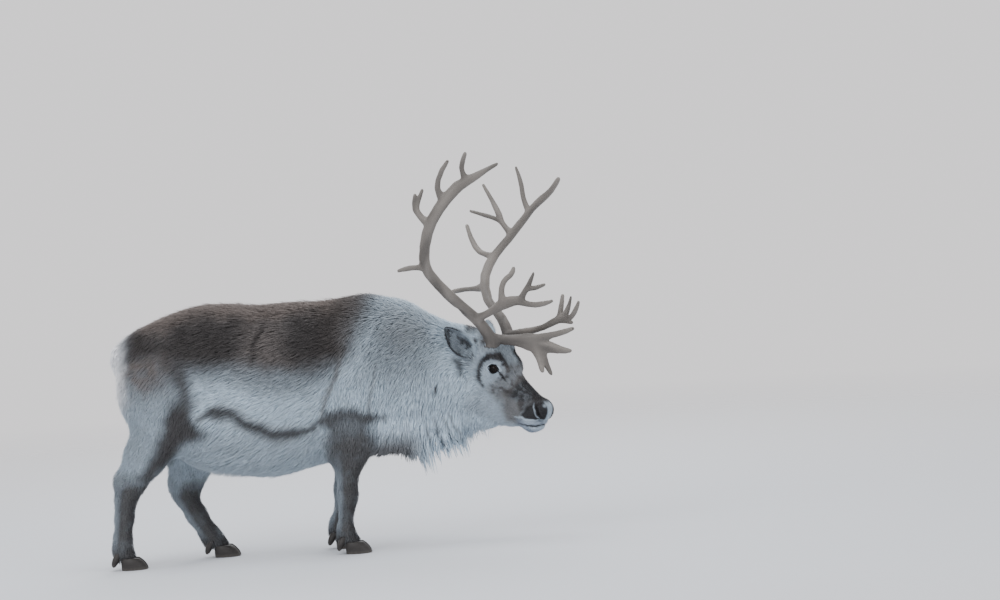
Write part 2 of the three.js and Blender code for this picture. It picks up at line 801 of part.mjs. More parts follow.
function dewclaw(leg, side) {
  const [x, y] = leg.joints[leg.joints.length - 1];
  const out = y + side * DEWCLAW.spread;
  const root = [x - 24, out - side * 6, CORONET + 16, DEWCLAW.radius, DEWCLAW.radius];
  const mid = [x - 42, out, CORONET - 4, DEWCLAW.radius, DEWCLAW.radius];
  const tip = [x - 58, out + side * 3, DEWCLAW.lift + 3, 4, 5];
  return bar([root, mid, tip], 6, 3);
}

for (const name of legNames) {
  const leg = LEGS[name];
  const sides = { inner: -leg.side, outer: leg.side };
  const grown = { ...leg, field: (p) => leg.field(p) - SEAT_GAP };
  const foot = legRings(grown, leg.cuts.fetlock - GAP, CORONET, 3);
  for (const [place, side] of Object.entries(sides)) {
    add(`hoof_${name}_${place}`, toe(leg, side), 'hoof', 0.5);
    add(`dewclaw_${name}_${place}`, dewclaw(leg, side).subtract(foot), 'hoof', 0.5);
  }
}

// Head: rings that fan from the nape to the nose on the same skin
const HEAD_RINGS = 26;
const HEAD_SIDES = 28;
const HEAD_PATH = new THREE.CatmullRomCurve3([
  NAPE_POINT.clone().addScaledVector(NAPE_WAY, GAP),
  onFace(100, 0, -42),
  onFace(190, 0, -44),
  onFace(NOSE_START + NOSE_CAP - 0.4, 0, -46),
]);
const FACE_NORMAL = onFace(1, 0, 0).sub(onFace(0, 0, 0));

function headLoft(grow) {
  const rings = [];
  const grown = (p) => fleshField(p) - grow;
  for (let i = 0; i <= HEAD_RINGS; i += 1) {
    const u = i / HEAD_RINGS;
    const eased = 1 - (1 - u) ** 1.2;
    const centre = HEAD_PATH.getPointAt(eased);
    const way = NAPE_WAY.clone().lerp(FACE_NORMAL, clamp(eased * 1.8, 0, 1)).normalize();
    rings.push(ringOn(grown, centre, way, vec(0, 0, 1), HEAD_SIDES, 260));
  }
  return loft(rings);
}

// The place where the head's skin is met going outwards from its middle.
function cheekAt(along, above, side) {
  const from = onFace(along, 0, above);
  const skin = leaving(headField, from, onFace(along, side, above).sub(from), 120);
  return [along, side * skin.distanceTo(from), above];
}

const faceBar = (stations, sides, steps, flat = vec(0, 1, 0)) => (
  bar(stations, sides, steps, flat, (p) => onFace(p.x, p.y, p.z))
);

// Eyes: a ball sunk in the orbit, seen through an almond opening with a rim of lids
const EYE = {
  along: 88, above: 17, radius: 20, proud: 3, wide: 17.5, tall: 12.5, depth: 10, lid: 4.6, slant: 0.4,
};
EYE.out = cheekAt(EYE.along, EYE.above, 1)[1];
function eyeBall(side, grow) {
  const ball = new THREE.SphereGeometry(EYE.radius + grow, 12, 9);
  const centre = onFace(EYE.along, side * (EYE.out + EYE.proud - EYE.radius), EYE.above);
  ball.translate(centre.x, centre.y, centre.z);
  return solid(ball);
}

// A point of the almond's edge, on the skin.
function almond(turn, side, size = 1) {
  const angle = 2 * Math.PI * turn;
  const a = Math.cos(angle) * EYE.wide * size;
  const b = Math.sin(angle) * EYE.tall * size * (1 - 0.3 * Math.abs(Math.cos(angle)) ** 3);
  const along = EYE.along + a * Math.cos(EYE.slant) - b * Math.sin(EYE.slant);
  return cheekAt(along, EYE.above + a * Math.sin(EYE.slant) + b * Math.cos(EYE.slant), side);
}

const LID_STEPS = 12;
function lids(side) {
  const rings = [];
  const spot = (turn) => vec(...almond(turn / LID_STEPS, side, 1.12));
  for (let i = 0; i < LID_STEPS; i += 1) {
    const centre = spot(i);
    const way = spot(i + 0.5).sub(spot(i - 0.5)).normalize();
    const out = vec(0, side, 0);
    const across = vec(0, 0, 0).crossVectors(way, out).normalize();
    const ring = [];
    for (let j = 0; j < 5; j += 1) {
      const angle = 2 * Math.PI * j / 5;
      const p = centre.clone().addScaledVector(across, Math.cos(angle) * EYE.lid)
        .addScaledVector(out, Math.sin(angle) * EYE.lid);
      ring.push(onFace(p.x, p.y, p.z));
    }
    rings.push(ring);
  }
  return hoop(rings);
}

function eyeOpening(side) {
  const ring = (size, shift) => Array.from({ length: LID_STEPS }, (_, i) => {
    const [along, out, above] = almond(i / LID_STEPS, side, size);
    return onFace(along, out + side * shift, above);
  });
  return loft([ring(0.8, -EYE.depth), ring(0.96, -2), ring(1.1, EYE.depth)]);
}

// Mouth and nostrils are cut into the skin
const MOUTH = { along: 285, front: -56, corner: -97, turn: 2.05, steps: 10, deep: 4 };
function mouthLine() {
  const path = [];
  for (let i = 0; i <= MOUTH.steps; i += 1) {
    const angle = lerp(-MOUTH.turn, MOUTH.turn, i / MOUTH.steps);
    const above = lerp(MOUTH.front, MOUTH.corner, (Math.abs(angle) / MOUTH.turn) ** 1.4);
    const from = onFace(MOUTH.along, 0, above);
    const ray = onFace(MOUTH.along + Math.cos(angle), Math.sin(angle), above).sub(from);
    const far = leaving(headField, from, ray, 80).distanceTo(from);
    const end = i === 0 || i === MOUTH.steps;
    path.push([
      MOUTH.along + Math.cos(angle) * far, Math.sin(angle) * far, above, end ? 1 : 3, MOUTH.deep,
    ]);
  }
  return faceBar(path, 5, MOUTH.steps * 2, vec(0, 0, 1));
}

const NOSTRIL = [[282, 10, 2.5, 3], [296, 3, 5, 6], [312, -7, 7.5, 8], [325, -19, 7, 7], [330, -30, 2.5, 3]];
function nostril(side) {
  return faceBar(NOSTRIL.map(([along, above, wide, deep]) => (
    [...cheekAt(along, above, side), wide, deep]
  )), 6, 8);
}

// Antlers: [forward, out, up, half width in the side view, half width across] in the head's frame
const ANTLERS = {
  right: {
    side: -1,
    beam: [
      [86, 46, 672, 22, 22], [103, 57, 728, 25, 24], [96, 64, 764, 21, 20], [57, 85, 830, 19, 18],
      [6, 165, 917, 18, 17], [-30, 243, 1009, 18, 17], [-24, 275, 1061, 18, 17], [13, 300, 1154, 19, 16],
      [66, 299, 1236, 22, 15], [137, 272, 1312, 20, 13], [208, 240, 1351, 12, 10], [271, 210, 1384, 2.5, 2.5],
    ],
    seat: 0.9,
    splits: [6, 7.4],
    crown: [
      [[84, 292, 1262, 15, 10], [70, 304, 1300, 9, 8], [88, 318, 1353, 7, 6], [139, 334, 1408, 1.5, 1.5]],
      [[165, 260, 1332, 13, 9], [156, 272, 1370, 7, 6], [170, 282, 1403, 5.5, 5], [188, 290, 1431, 1.5, 1.5]],
    ],
    tines: {
      back: [
        [[-22, 256, 1018, 9, 9], [-66, 285, 1032, 7, 6], [-88, 300, 1029, 5, 5], [-112, 318, 1023, 1.5, 1.5]],
      ],
      rear: [
        [[28, 302, 1176, 14, 10], [-4, 304, 1208, 11, 9], [-26, 313, 1248, 8, 7], [-14, 322, 1295, 1.5, 1.5]],
        [[-22, 311, 1236, 7, 6], [-6, 311, 1276, 5, 5], [10, 306, 1311, 1.5, 1.5]],
      ],
      bez: [
        [[62, 84, 826, 15, 12], [130, 92, 850, 12, 9], [182, 104, 873, 20, 8], [230, 112, 884, 19, 8],
          [280, 118, 888, 14, 7]],
        [[186, 106, 880, 13, 8], [188, 104, 930, 9, 7], [202, 100, 962, 8, 6], [226, 92, 979, 6, 5],
          [235, 84, 1005, 1.5, 1.5]],
        [[270, 118, 888, 12, 7], [318, 130, 946, 7, 6], [347, 140, 986, 1.5, 1.5]],
        [[308, 127, 926, 6, 5], [353, 140, 932, 5, 4], [396, 152, 943, 1.5, 1.5]],
        [[262, 116, 880, 11, 7], [332, 118, 868, 8, 6], [404, 122, 880, 1.5, 1.5]],
      ],
      brow: [
        [[100, 54, 752, 16, 14], [140, 42, 744, 17, 13], [190, 30, 738, 20, 10], [240, 18, 730, 34, 7],
          [272, 11, 720, 26, 6]],
        [[240, 16, 740, 15, 7], [305, 12, 747, 12, 6], [360, 8, 756, 9, 5], [416, 4, 771, 1.5, 1.5]],
        [[250, 13, 722, 20, 7], [312, 6, 706, 20, 6], [352, 3, 695, 13, 5], [397, 0, 690, 1.5, 1.5]],
        [[248, 15, 716, 18, 7], [268, 16, 680, 13, 6], [279, 18, 648, 8, 5], [286, 22, 620, 1.5, 1.5]],
        [[268, 10, 708, 19, 7], [289, 6, 668, 12, 6], [298, 2, 634, 8, 5], [310, -2, 605, 1.5, 1.5]],
      ],
    },
  },
  left: {
    side: 1,
    beam: [
      [89, 46, 668, 22, 22], [106, 57, 724, 25, 24], [101, 66, 764, 19, 18], [72, 82, 812, 17, 16],
      [-10, 135, 878, 16, 15], [-50, 195, 964, 17, 14], [-28, 244, 1038, 16, 14], [38, 272, 1113, 14, 13],
      [120, 281, 1198, 13, 12], [172, 272, 1234, 13, 11], [217, 262, 1264, 10, 9], [260, 248, 1306, 2.5, 2.5],
    ],
    seat: 0.9,
    splits: [5.2, 7.4],
    crown: [
      [[106, 280, 1184, 10, 9], [83, 290, 1232, 7, 6], [71, 300, 1295, 5.5, 5], [48, 310, 1356, 1.5, 1.5]],
    ],
    tines: {
      back: [
        [[-44, 168, 922, 17, 11], [-97, 185, 918, 8, 7], [-167, 215, 915, 6, 5], [-234, 240, 906, 1.5, 1.5]],
      ],
      rear: [
        [[-24, 240, 1034, 12, 9], [-87, 250, 1043, 8, 7], [-128, 264, 1078, 6, 6],
          [-162, 280, 1151, 1.5, 1.5]],
      ],
      fork: [
        [[42, 270, 1102, 14, 9], [-6, 279, 1144, 10, 8], [-28, 287, 1195, 7, 6], [-92, 302, 1297, 1.5, 1.5]],
        [[-10, 280, 1152, 8, 7], [-47, 288, 1171, 6, 5], [-96, 298, 1185, 5, 4], [-161, 310, 1202, 1.5, 1.5]],
      ],
      brow: [
        [[104, 56, 750, 15, 13], [162, 40, 760, 13, 11], [219, 30, 766, 11, 9], [274, 22, 776, 11, 8],
          [329, 16, 797, 14, 7], [358, 12, 806, 11, 6]],
        [[342, 15, 800, 9, 6], [356, 18, 836, 6, 5], [366, 26, 892, 1.5, 1.5]],
        [[354, 12, 806, 8, 6], [386, 8, 829, 6, 5], [413, 2, 886, 1.5, 1.5]],
        [[358, 11, 806, 8, 6], [401, 4, 809, 6, 5], [430, -4, 836, 5, 4], [449, -10, 867, 1.5, 1.5]],
        [[350, 12, 800, 8, 5], [384, 6, 796, 6, 4], [412, 0, 792, 1.5, 1.5]],
      ],
    },
  },
};

const ANTLER_SEAT = { forward: 2, up: -5 };
const BEAM_SIDES = 8;
const TINE_SIDES = 6;
const tineSteps = (stations) => Math.ceil((stations.length - 1) * 1.6);
function antlerBar(side, stations, sides, steps, grow) {
  const grown = stations.map(([f, l, z, wide, deep]) => (
    [f + ANTLER_SEAT.forward, l, z + ANTLER_SEAT.up, wide * 1.05 + grow, deep * 1.05 + grow]
  ));
  return bar(grown, sides, steps, vec(0, 1, 0), (p) => fromHead(p.x, side * p.y, p.z));
}

function buildAntler(name, antler, headGrown) {
  const { side, beam, seat, splits } = antler;
  const curve = new THREE.CatmullRomCurve3(
    beam.map(([f, l, z]) => fromHead(f + ANTLER_SEAT.forward, side * l, z + ANTLER_SEAT.up)),
    false,
    'centripetal',
  );
  const whole = (grow) => antlerBar(side, beam, BEAM_SIDES, (beam.length - 1) * 2, grow);
  const cut = (at, shift) => {
    const u = at / (beam.length - 1);
    const way = curve.getTangent(u);
    return behind(curve.getPoint(u).addScaledVector(way, shift), way);
  };
  let crown = whole(0).subtract(cut(splits[1], GAP));
  for (const tine of antler.crown) crown = crown.add(antlerBar(side, tine, TINE_SIDES, tineSteps(tine), 0));
  const middle = whole(0).subtract(cut(splits[0], GAP)).intersect(cut(splits[1], 0));
  const lower = whole(0).intersect(cut(splits[0], 0)).subtract(cut(seat, GAP)).subtract(headGrown);
  add(`antler_${name}_lower`, lower, 'antler', 0.7);
  add(`antler_${name}_middle`, middle, 'antler', 0.7);
  add(`antler_${name}_crown`, crown, 'antler', 0.7);
  const beamGrown = whole(GAP);
  for (const [tineName, bars] of Object.entries(antler.tines)) {
    let tine = null;
    for (const stations of bars) {
      const piece = antlerBar(side, stations, TINE_SIDES, tineSteps(stations), 0);
      tine = tine ? tine.add(piece) : piece;
    }
    add(`antler_${name}_${tineName}`, tine.subtract(beamGrown).subtract(headGrown), 'antler', 0.7);
  }
  return whole(-1).intersect(cut(seat, 0));
}

// Ears: leaves held back and out, each hollowed on the side that it opens to
const EAR = {
  root: vec(34, 52, 664),
  middle: vec(0, 108, 742),
  tip: vec(-28, 152, 796),
  wide: 39,
  deep: 19,
  open: vec(0.6, 0.75, -0.25),
};
function ear(side, headGrown) {
  const place = (p) => fromHead(p.x, side * p.y, p.z);
  const curve = new THREE.QuadraticBezierCurve3(EAR.root, EAR.middle, EAR.tip);
  const leaf = (t) => Math.sin(Math.PI * clamp(0.16 + 0.83 * t ** 1.15, 0, 1)) ** 0.8;
  const outer = [];
  const hollow = [];
  for (let i = 0; i <= 7; i += 1) {
    const t = i / 7;
    const p = curve.getPoint(t);
    outer.push([p.x, p.y, p.z, EAR.wide * leaf(t) + 1, EAR.deep * leaf(t) ** 0.6 + 0.6]);
  }
  for (let i = 0; i <= 5; i += 1) {
    const t = lerp(0.3, 0.95, i / 5);
    const size = Math.sin(Math.PI * clamp(i / 5, 0.03, 0.97)) ** 0.7;
    const p = curve.getPoint(t).addScaledVector(EAR.open, EAR.deep * 1.15);
    hollow.push([p.x, p.y, p.z, EAR.wide * 0.74 * size * leaf(t), EAR.deep * 1.5 * size]);
  }
  const cup = bar(outer, 10, 8, EAR.open, place).subtract(bar(hollow, 8, 6, EAR.open, place));
  const clear = clearOf(cup, headGrown, NAPE_WAY.clone().multiplyScalar(-4 * GAP));
  return clearOf(clear, neckBody, vec(0.4, 0.6 * side, 0.5));
}

// Beard and cheek ruff: locks under the jaw, in the head's frame
const BEARD = profile([[-20, 38], [40, 36], [100, 44], [150, 30]]);
function beardLocks() {
  const spot = (place) => {
    const f = lerp(-14, 132, place);
    const across = fromHead(0, 1, 0).sub(fromHead(0, 0, 0));
    return { middle: fromHead(f, 0, 520), across, length: BEARD(f)[0] + 12, wide: 26 };
  };
  const hangOf = (sway) => vec(0.1 + 0.2 * sway, 0.2 * sway, -1);
  return locks(headField, [[-0.7, 1.5], [0.7, 1.5], [0, 1]], 3, spot, hangOf, randomFrom(11));
}

const headGrown = headLoft(SEAT_GAP);
let headBody = headLoft(0);
const pedicles = Object.entries(ANTLERS).map(([name, antler]) => buildAntler(name, antler, headGrown));
for (const pedicle of pedicles) headBody = headBody.add(pedicle);
for (const side of [-1, 1]) {
  headBody = headBody.add(lids(side));
  headBody = headBody.subtract(eyeOpening(side)).subtract(nostril(side));
}
headBody = headBody.subtract(mouthLine());
for (const piece of beardLocks()) headBody = headBody.add(piece);
headBody = headBody.subtract(behind(NAPE_POINT.clone().addScaledVector(NAPE_WAY, GAP), NAPE_WAY));
for (const [name, side] of [['right', -1], ['left', 1]]) {
  headBody = headBody.subtract(eyeBall(side, GAP));
  add(`eye_${name}`, eyeBall(side, 0), 'eye', 0.1);
  add(`ear_${name}`, ear(side, headGrown), 'face');
}
add('head', headBody, 'face');

// Tail
const tail = bar([
  [-345, 0, 812, 16, 26], [-368, 0, 786, 26, 32], [-382, 0, 746, 23, 28], [-381, 0, 706, 15, 18],
  [-376, 0, 678, 3, 4],
], 9, 7);
add('tail', clearOf(tail, torsoBody, vec(-0.5, 0, 0.2)), 'pale');

// The origin sits midway under the whole animal
const whole = new THREE.Box3().setFromObject(reindeer);
const middle = whole.getCenter(vec(0, 0, 0));
for (const mesh of reindeer.children) mesh.position.set(-middle.x, -middle.y, 0);

export default reindeer;
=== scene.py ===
"""A Svalbard reindeer bull in its winter coat, life size, in mid step with its head low.

Places are in metres in the animal's own frame: X forward along the back, Y to its left, Z up from
the soles. The face has a frame of its own: along it to the nose, out to the side, above its axis.
"""
import math

import bpy
import bmesh
import numpy as np
from mathutils import Matrix, Vector
from mathutils.bvhtree import BVHTree
from mathutils.kdtree import KDTree


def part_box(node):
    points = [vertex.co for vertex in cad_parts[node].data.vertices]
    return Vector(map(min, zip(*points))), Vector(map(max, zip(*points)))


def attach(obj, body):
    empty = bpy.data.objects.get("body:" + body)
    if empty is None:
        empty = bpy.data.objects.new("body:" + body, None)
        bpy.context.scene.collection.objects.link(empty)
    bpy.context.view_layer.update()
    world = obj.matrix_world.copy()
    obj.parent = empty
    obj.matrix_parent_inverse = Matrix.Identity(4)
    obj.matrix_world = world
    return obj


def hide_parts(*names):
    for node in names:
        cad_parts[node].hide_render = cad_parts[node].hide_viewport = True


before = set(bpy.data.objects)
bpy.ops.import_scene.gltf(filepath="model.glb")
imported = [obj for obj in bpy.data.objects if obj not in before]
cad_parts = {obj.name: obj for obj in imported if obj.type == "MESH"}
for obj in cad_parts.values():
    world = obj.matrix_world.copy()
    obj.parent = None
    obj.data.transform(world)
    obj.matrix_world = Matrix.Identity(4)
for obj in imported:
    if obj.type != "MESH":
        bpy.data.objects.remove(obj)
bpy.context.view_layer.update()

# The animal's own frame, set by its fore feet
FORE_TOE = 0.4997
FORE_HOOVES = [f"hoof_fore_{side}_{place}" for side in ("right", "left") for place in ("inner", "outer")]


def middle_of(node):
    low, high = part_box(node)
    return (low + high) / 2


MIDLINE = sum(middle_of(node).y for node in FORE_HOOVES) / len(FORE_HOOVES)
ORIGIN = np.array([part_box("hoof_fore_right_inner")[1].x - FORE_TOE, MIDLINE, 0.0])

# The head is turned to the animal's right and nods down along the face
HEAD_YAW = math.radians(-30)
HEAD_PIVOT = np.array([0.925, -0.030, 0.0])
FACE_PITCH = math.radians(40)
FACE_FORWARD = 0.040
FACE_UP = 0.680
MANE_HANG = np.array([0.24, 0.0, -1.0])

# Mesh fineness
SKIN_CELL = 0.0088
BAND_CELL = 0.030
BAND = 0.045
DENSITY = 1.0
HAIR_SPACING = 0.024
ROOT_DEPTH = 0.0025
PATCH = 0.003


# Numbers on arrays of places

def row(*values):
    return np.array(values, float)


def dot(a, b):
    return np.sum(a * b, axis=-1)


def length_of(v):
    return np.sqrt(dot(v, v))


def unit(v):
    return v / np.maximum(length_of(v), 1e-9)[..., None]


def lerp(a, b, t):
    return a + (b - a) * t


def ease(low, high, value):
    """0 below low, 1 above high, and a smooth rise between."""
    t = np.clip((value - low) / (high - low), 0, 1)
    return t * t * (3 - 2 * t)


def grain(p, size, seed=0):
    """Smooth random values from -1 to 1 that change over the given size."""
    q = np.asarray(p) / size + seed * 17.13
    base = np.floor(q).astype(np.int64)
    t = q - base
    t = t * t * (3 - 2 * t)
    total = 0
    for corner in np.ndindex(2, 2, 2):
        at = base + corner
        mixed = (at[:, 0] * 73856093) ^ (at[:, 1] * 19349663) ^ (at[:, 2] * 83492791)
        mixed = (mixed * 2654435761 + seed * 97) & 0xFFFFFFFF
        mixed = ((mixed ^ (mixed >> 15)) * 2246822519) & 0xFFFFFFFF
        value = (mixed ^ (mixed >> 13)) / 0xFFFFFFFF * 2 - 1
        weight = np.prod(np.where(corner, t, 1 - t), axis=1)
        total = total + value * weight
    return total


def profile(stations):
    """A smooth curve through a few [place, value, value ...] stations."""
    table = np.array(stations, float)
    place, values = table[:, 0], table[:, 1:]
    order = np.arange(len(table))
    before, after = np.maximum(order - 1, 0), np.minimum(order + 1, len(table) - 1)
    slopes = (values[after] - values[before]) / (place[after] - place[before])[:, None]

    def at(x):
        x = np.clip(x, place[0], place[-1])
        i = np.clip(np.searchsorted(place, x, side="right") - 1, 0, len(place) - 2)
        span = (place[i + 1] - place[i])[:, None]
        t = ((x - place[i]) / span[:, 0])[:, None]
        start = values[i] * (2 * t ** 3 - 3 * t ** 2 + 1) + slopes[i] * span * (t ** 3 - 2 * t ** 2 + t)
        end = values[i + 1] * (3 * t ** 2 - 2 * t ** 3) + slopes[i + 1] * span * (t ** 3 - t ** 2)
        return (start + end).T

    return at


# The body's forms, as distances from their surfaces

def blend(a, b, width):
    """Joins two distances with a rounded valley of the given width."""
    h = np.maximum(width - np.abs(a - b), 0) / width
    return np.minimum(a, b) - h * h * width * 0.25


def limb(joints, width=0.018):
    """A bent limb. Joints are [x, y, z, half depth fore and aft, half width across]."""
    joints = np.array(joints)

    def at(p):
        nearest = np.full(len(p), np.inf)
        for a, b in zip(joints[:-1], joints[1:]):
            run = b[:3] - a[:3]
            t = np.clip((p - a[:3]) @ run / (run @ run), 0, 1)
            off = p - a[:3] - t[:, None] * run
            deep, wide = lerp(a[3], b[3], t), lerp(a[4], b[4], t)
            reach = np.sqrt((off[:, 0] / deep) ** 2 + (off[:, 2] / deep) ** 2 + (off[:, 1] / wide) ** 2)
            nearest = blend(nearest, (reach - 1) * np.minimum(deep, wide), width)
        return nearest

    return at


def egg(centre, radii, lean):
    """An egg with radii along X, Y and Z that leans forward by an angle."""
    c, s = math.cos(lean), math.sin(lean)

    def at(p):
        x, y, z = (p - centre).T
        upright = np.stack([x * c - z * s, y, x * s + z * c], -1)
        return (length_of(upright / radii) - 1) * min(radii)

    return at


# Trunk: [station, back line, belly line, half width]
TRUNK = profile([
    [-0.278, 0.858, 0.510, 0.140],
    [-0.230, 0.884, 0.440, 0.164],
    [-0.150, 0.916, 0.364, 0.192],
    [-0.050, 0.934, 0.324, 0.212],
    [0.050, 0.931, 0.306, 0.222],
    [0.150, 0.920, 0.293, 0.225],
    [0.250, 0.922, 0.305, 0.220],
    [0.350, 0.918, 0.328, 0.206],
    [0.450, 0.915, 0.342, 0.190],
    [0.550, 0.912, 0.356, 0.176],
    [0.640, 0.896, 0.376, 0.160],
])
TRUNK_ENDS = (-0.278, 0.640)
RUMP_CAP, CHEST_CAP = 0.108, 0.120


def trunk(p):
    """The trunk: rounded sections from the back line to the belly line, closed at both ends."""
    x, y, z = p.T
    back, belly, half = TRUNK(x)
    centre = lerp(belly, back, 0.46)
    above = z > centre
    tall = np.where(above, back - centre, centre - belly)
    power = np.where(above, 2.15, 2.35)
    rear = np.maximum(0, TRUNK_ENDS[0] - x) / RUMP_CAP
    front = np.maximum(0, x - TRUNK_ENDS[1]) / CHEST_CAP
    total = (np.abs(y) / half) ** power + (np.abs(z - centre) / tall) ** power + rear ** 2.2 + front ** 2.4
    return (total ** (1 / power) - 1) * np.minimum(half, tall)


CREST = limb([
    [0.560, 0, 0.690, 0.216, 0.146],
    [0.700, 0, 0.690, 0.164, 0.112],
    [0.800, -0.004, 0.676, 0.130, 0.080],
    [0.876, -0.014, 0.674, 0.110, 0.060],
    [0.940, -0.032, 0.672, 0.094, 0.052],
], 0.024)
THROAT = limb([
    [0.560, 0, 0.606, 0.226, 0.168],
    [0.700, 0, 0.598, 0.203, 0.156],
    [0.800, -0.006, 0.578, 0.168, 0.140],
    [0.870, -0.016, 0.558, 0.138, 0.122],
    [0.930, -0.034, 0.544, 0.112, 0.102],
], 0.024)

# Legs: joints from the body to the hoof, with the knob of the hock or knee
LEGS = {
    "hind_right": {
        "joints": [
            [-0.238, -0.104, 0.620, 0.112, 0.080], [-0.228, -0.116, 0.500, 0.098, 0.072],
            [-0.296, -0.120, 0.408, 0.076, 0.056], [-0.354, -0.118, 0.318, 0.052, 0.040],
            [-0.379, -0.116, 0.256, 0.038, 0.031], [-0.389, -0.115, 0.190, 0.033, 0.028],
            [-0.401, -0.114, 0.112, 0.032, 0.027], [-0.404, -0.113, 0.072, 0.036, 0.031],
            [-0.394, -0.113, 0.040, 0.040, 0.034],
        ],
        "knob": [-0.388, -0.118, 0.334, 0.022, 0.018],
        "lean": 0.62,
    },
    "hind_left": {
        "joints": [
            [-0.225, 0.108, 0.600, 0.128, 0.084], [-0.156, 0.114, 0.440, 0.106, 0.074],
            [-0.152, 0.116, 0.350, 0.077, 0.058], [-0.168, 0.116, 0.284, 0.056, 0.043],
            [-0.177, 0.115, 0.232, 0.041, 0.033], [-0.143, 0.113, 0.160, 0.036, 0.028],
            [-0.102, 0.111, 0.088, 0.034, 0.028], [-0.086, 0.110, 0.062, 0.037, 0.031],
            [-0.068, 0.110, 0.036, 0.041, 0.034],
        ],
        "knob": [-0.212, 0.117, 0.282, 0.026, 0.020],
        "lean": 0.2,
    },
    "fore_right": {
        "joints": [
            [0.452, -0.112, 0.520, 0.096, 0.066], [0.446, -0.112, 0.420, 0.076, 0.054],
            [0.440, -0.108, 0.345, 0.054, 0.042], [0.431, -0.106, 0.280, 0.036, 0.034],
            [0.425, -0.105, 0.215, 0.031, 0.031], [0.416, -0.104, 0.150, 0.024, 0.024],
            [0.409, -0.104, 0.092, 0.028, 0.027], [0.412, -0.104, 0.062, 0.033, 0.031],
            [0.426, -0.104, 0.034, 0.040, 0.034],
        ],
        "knob": [0.427, -0.105, 0.212, 0.032, 0.032],
        "lean": 0.0,
    },
    "fore_left": {
        "joints": [
            [0.448, 0.112, 0.520, 0.096, 0.066], [0.436, 0.112, 0.420, 0.076, 0.054],
            [0.424, 0.108, 0.345, 0.054, 0.042], [0.416, 0.106, 0.280, 0.035, 0.034],
            [0.409, 0.105, 0.215, 0.030, 0.031], [0.394, 0.104, 0.150, 0.024, 0.024],
            [0.372, 0.104, 0.092, 0.028, 0.027], [0.372, 0.104, 0.062, 0.033, 0.031],
            [0.385, 0.104, 0.034, 0.040, 0.034],
        ],
        "knob": [0.403, 0.105, 0.212, 0.032, 0.032],
        "lean": 0.0,
    },
}
CORONET = 0.044
for leg in LEGS.values():
    leg["joints"] = np.array(leg["joints"])
    knob = leg["knob"]
    leg["chain"] = limb(leg["joints"])
    leg["point"] = egg(knob[:3], [knob[3], knob[4], knob[3] * 1.5], leg["lean"])

# Haunches and shoulders, which swell the trunk's sides
SWELLS = [
    egg((-0.236, -0.084, 0.680), (0.124, 0.084, 0.190), 0.1),
    egg((-0.226, 0.084, 0.670), (0.124, 0.084, 0.190), -0.1),
    egg((0.466, -0.104, 0.620), (0.112, 0.082, 0.220), 0.14),
    egg((0.460, 0.104, 0.620), (0.112, 0.082, 0.220), 0.14),
]
TAIL_JOINTS = [
    [-0.345, 0, 0.812, 0.022, 0.026], [-0.368, 0, 0.786, 0.026, 0.032], [-0.380, 0, 0.746, 0.023, 0.028],
    [-0.380, 0, 0.712, 0.016, 0.018],
]
TAIL = limb(TAIL_JOINTS)


def turned(v, angle):
    """Places turned about the Z axis."""
    c, s = math.cos(angle), math.sin(angle)
    x, y, z = np.moveaxis(np.asarray(v, float), -1, 0)
    return np.stack([x * c - y * s, x * s + y * c, z], -1)


def from_head(f, out, z):
    """A place of the head before its turn, forward, out and up, in the animal's frame."""
    return turned(row(f, out, z), HEAD_YAW) + HEAD_PIVOT


def face_way(along, out, above):
    """A direction of the face's frame in the animal's frame."""
    c, s = math.cos(FACE_PITCH), math.sin(FACE_PITCH)
    along, out, above = np.broadcast_arrays(along, out, above)
    return turned(np.stack([along * c + above * s, out, above * c - along * s], -1), HEAD_YAW)


FACE_ORIGIN = from_head(FACE_FORWARD, 0, FACE_UP)


def on_face(along, out, above):
    """A place of the face's frame in the animal's frame."""
    return face_way(along, out, above) + FACE_ORIGIN


def face_of(p):
    """Along, out to the left and above, in the face's frame."""
    q = turned(p - FACE_ORIGIN, -HEAD_YAW)
    c, s = math.cos(FACE_PITCH), math.sin(FACE_PITCH)
    return q[:, 0] * c - q[:, 2] * s, q[:, 1], q[:, 0] * s + q[:, 2] * c


# Skull: [along, brow and nose line, jaw line, half width above, half width below]
SKULL = profile([
    [-0.070, 0.034, -0.096, 0.060, 0.058],
    [-0.014, 0.062, -0.114, 0.074, 0.068],
    [0.040, 0.071, -0.122, 0.080, 0.072],
    [0.086, 0.063, -0.121, 0.078, 0.070],
    [0.130, 0.046, -0.117, 0.062, 0.058],
    [0.170, 0.032, -0.111, 0.053, 0.050],
    [0.228, 0.024, -0.108, 0.046, 0.042],
    [0.286, 0.019, -0.113, 0.046, 0.042],
    [0.316, 0.015, -0.106, 0.043, 0.038],
])
SKULL_ENDS = (-0.070, 0.302)
NAPE_CAP, NOSE_CAP = 0.060, 0.034


def skull(p):
    """The head without its swellings, from the nape to the nose."""
    along, out, above = face_of(p)
    top, bottom, high, low = SKULL(np.clip(along, *SKULL_ENDS))
    centre, tall = (top + bottom) / 2, (top - bottom) / 2
    half = lerp(low, high, np.clip(0.5 + (above - centre) / (2 * tall), 0, 1))
    rear = np.maximum(0, SKULL_ENDS[0] - along) / NAPE_CAP
    front = np.maximum(0, along - SKULL_ENDS[1]) / NOSE_CAP
    total = (np.abs(out) / half) ** 2.3 + (np.abs(above - centre) / tall) ** 2.3 + rear ** 2 + front ** 2.2
    return (total ** (1 / 2.3) - 1) * np.minimum(half, tall)


# Where each antler grows: the foot of its pedicle under the skin, and its burr on top
PEDICLE = {"foot": (0.088, 0.044, 0.650), "top": (0.099, 0.053, 0.705), "radius": (0.031, 0.0270)}
BURR = {"at": (0.103, 0.056, 0.717), "way": (0.017, 0.011, 0.056), "tall": 0.006, "out": 0.0060}
ANTLER_SIDES = {"right": -1, "left": 1}


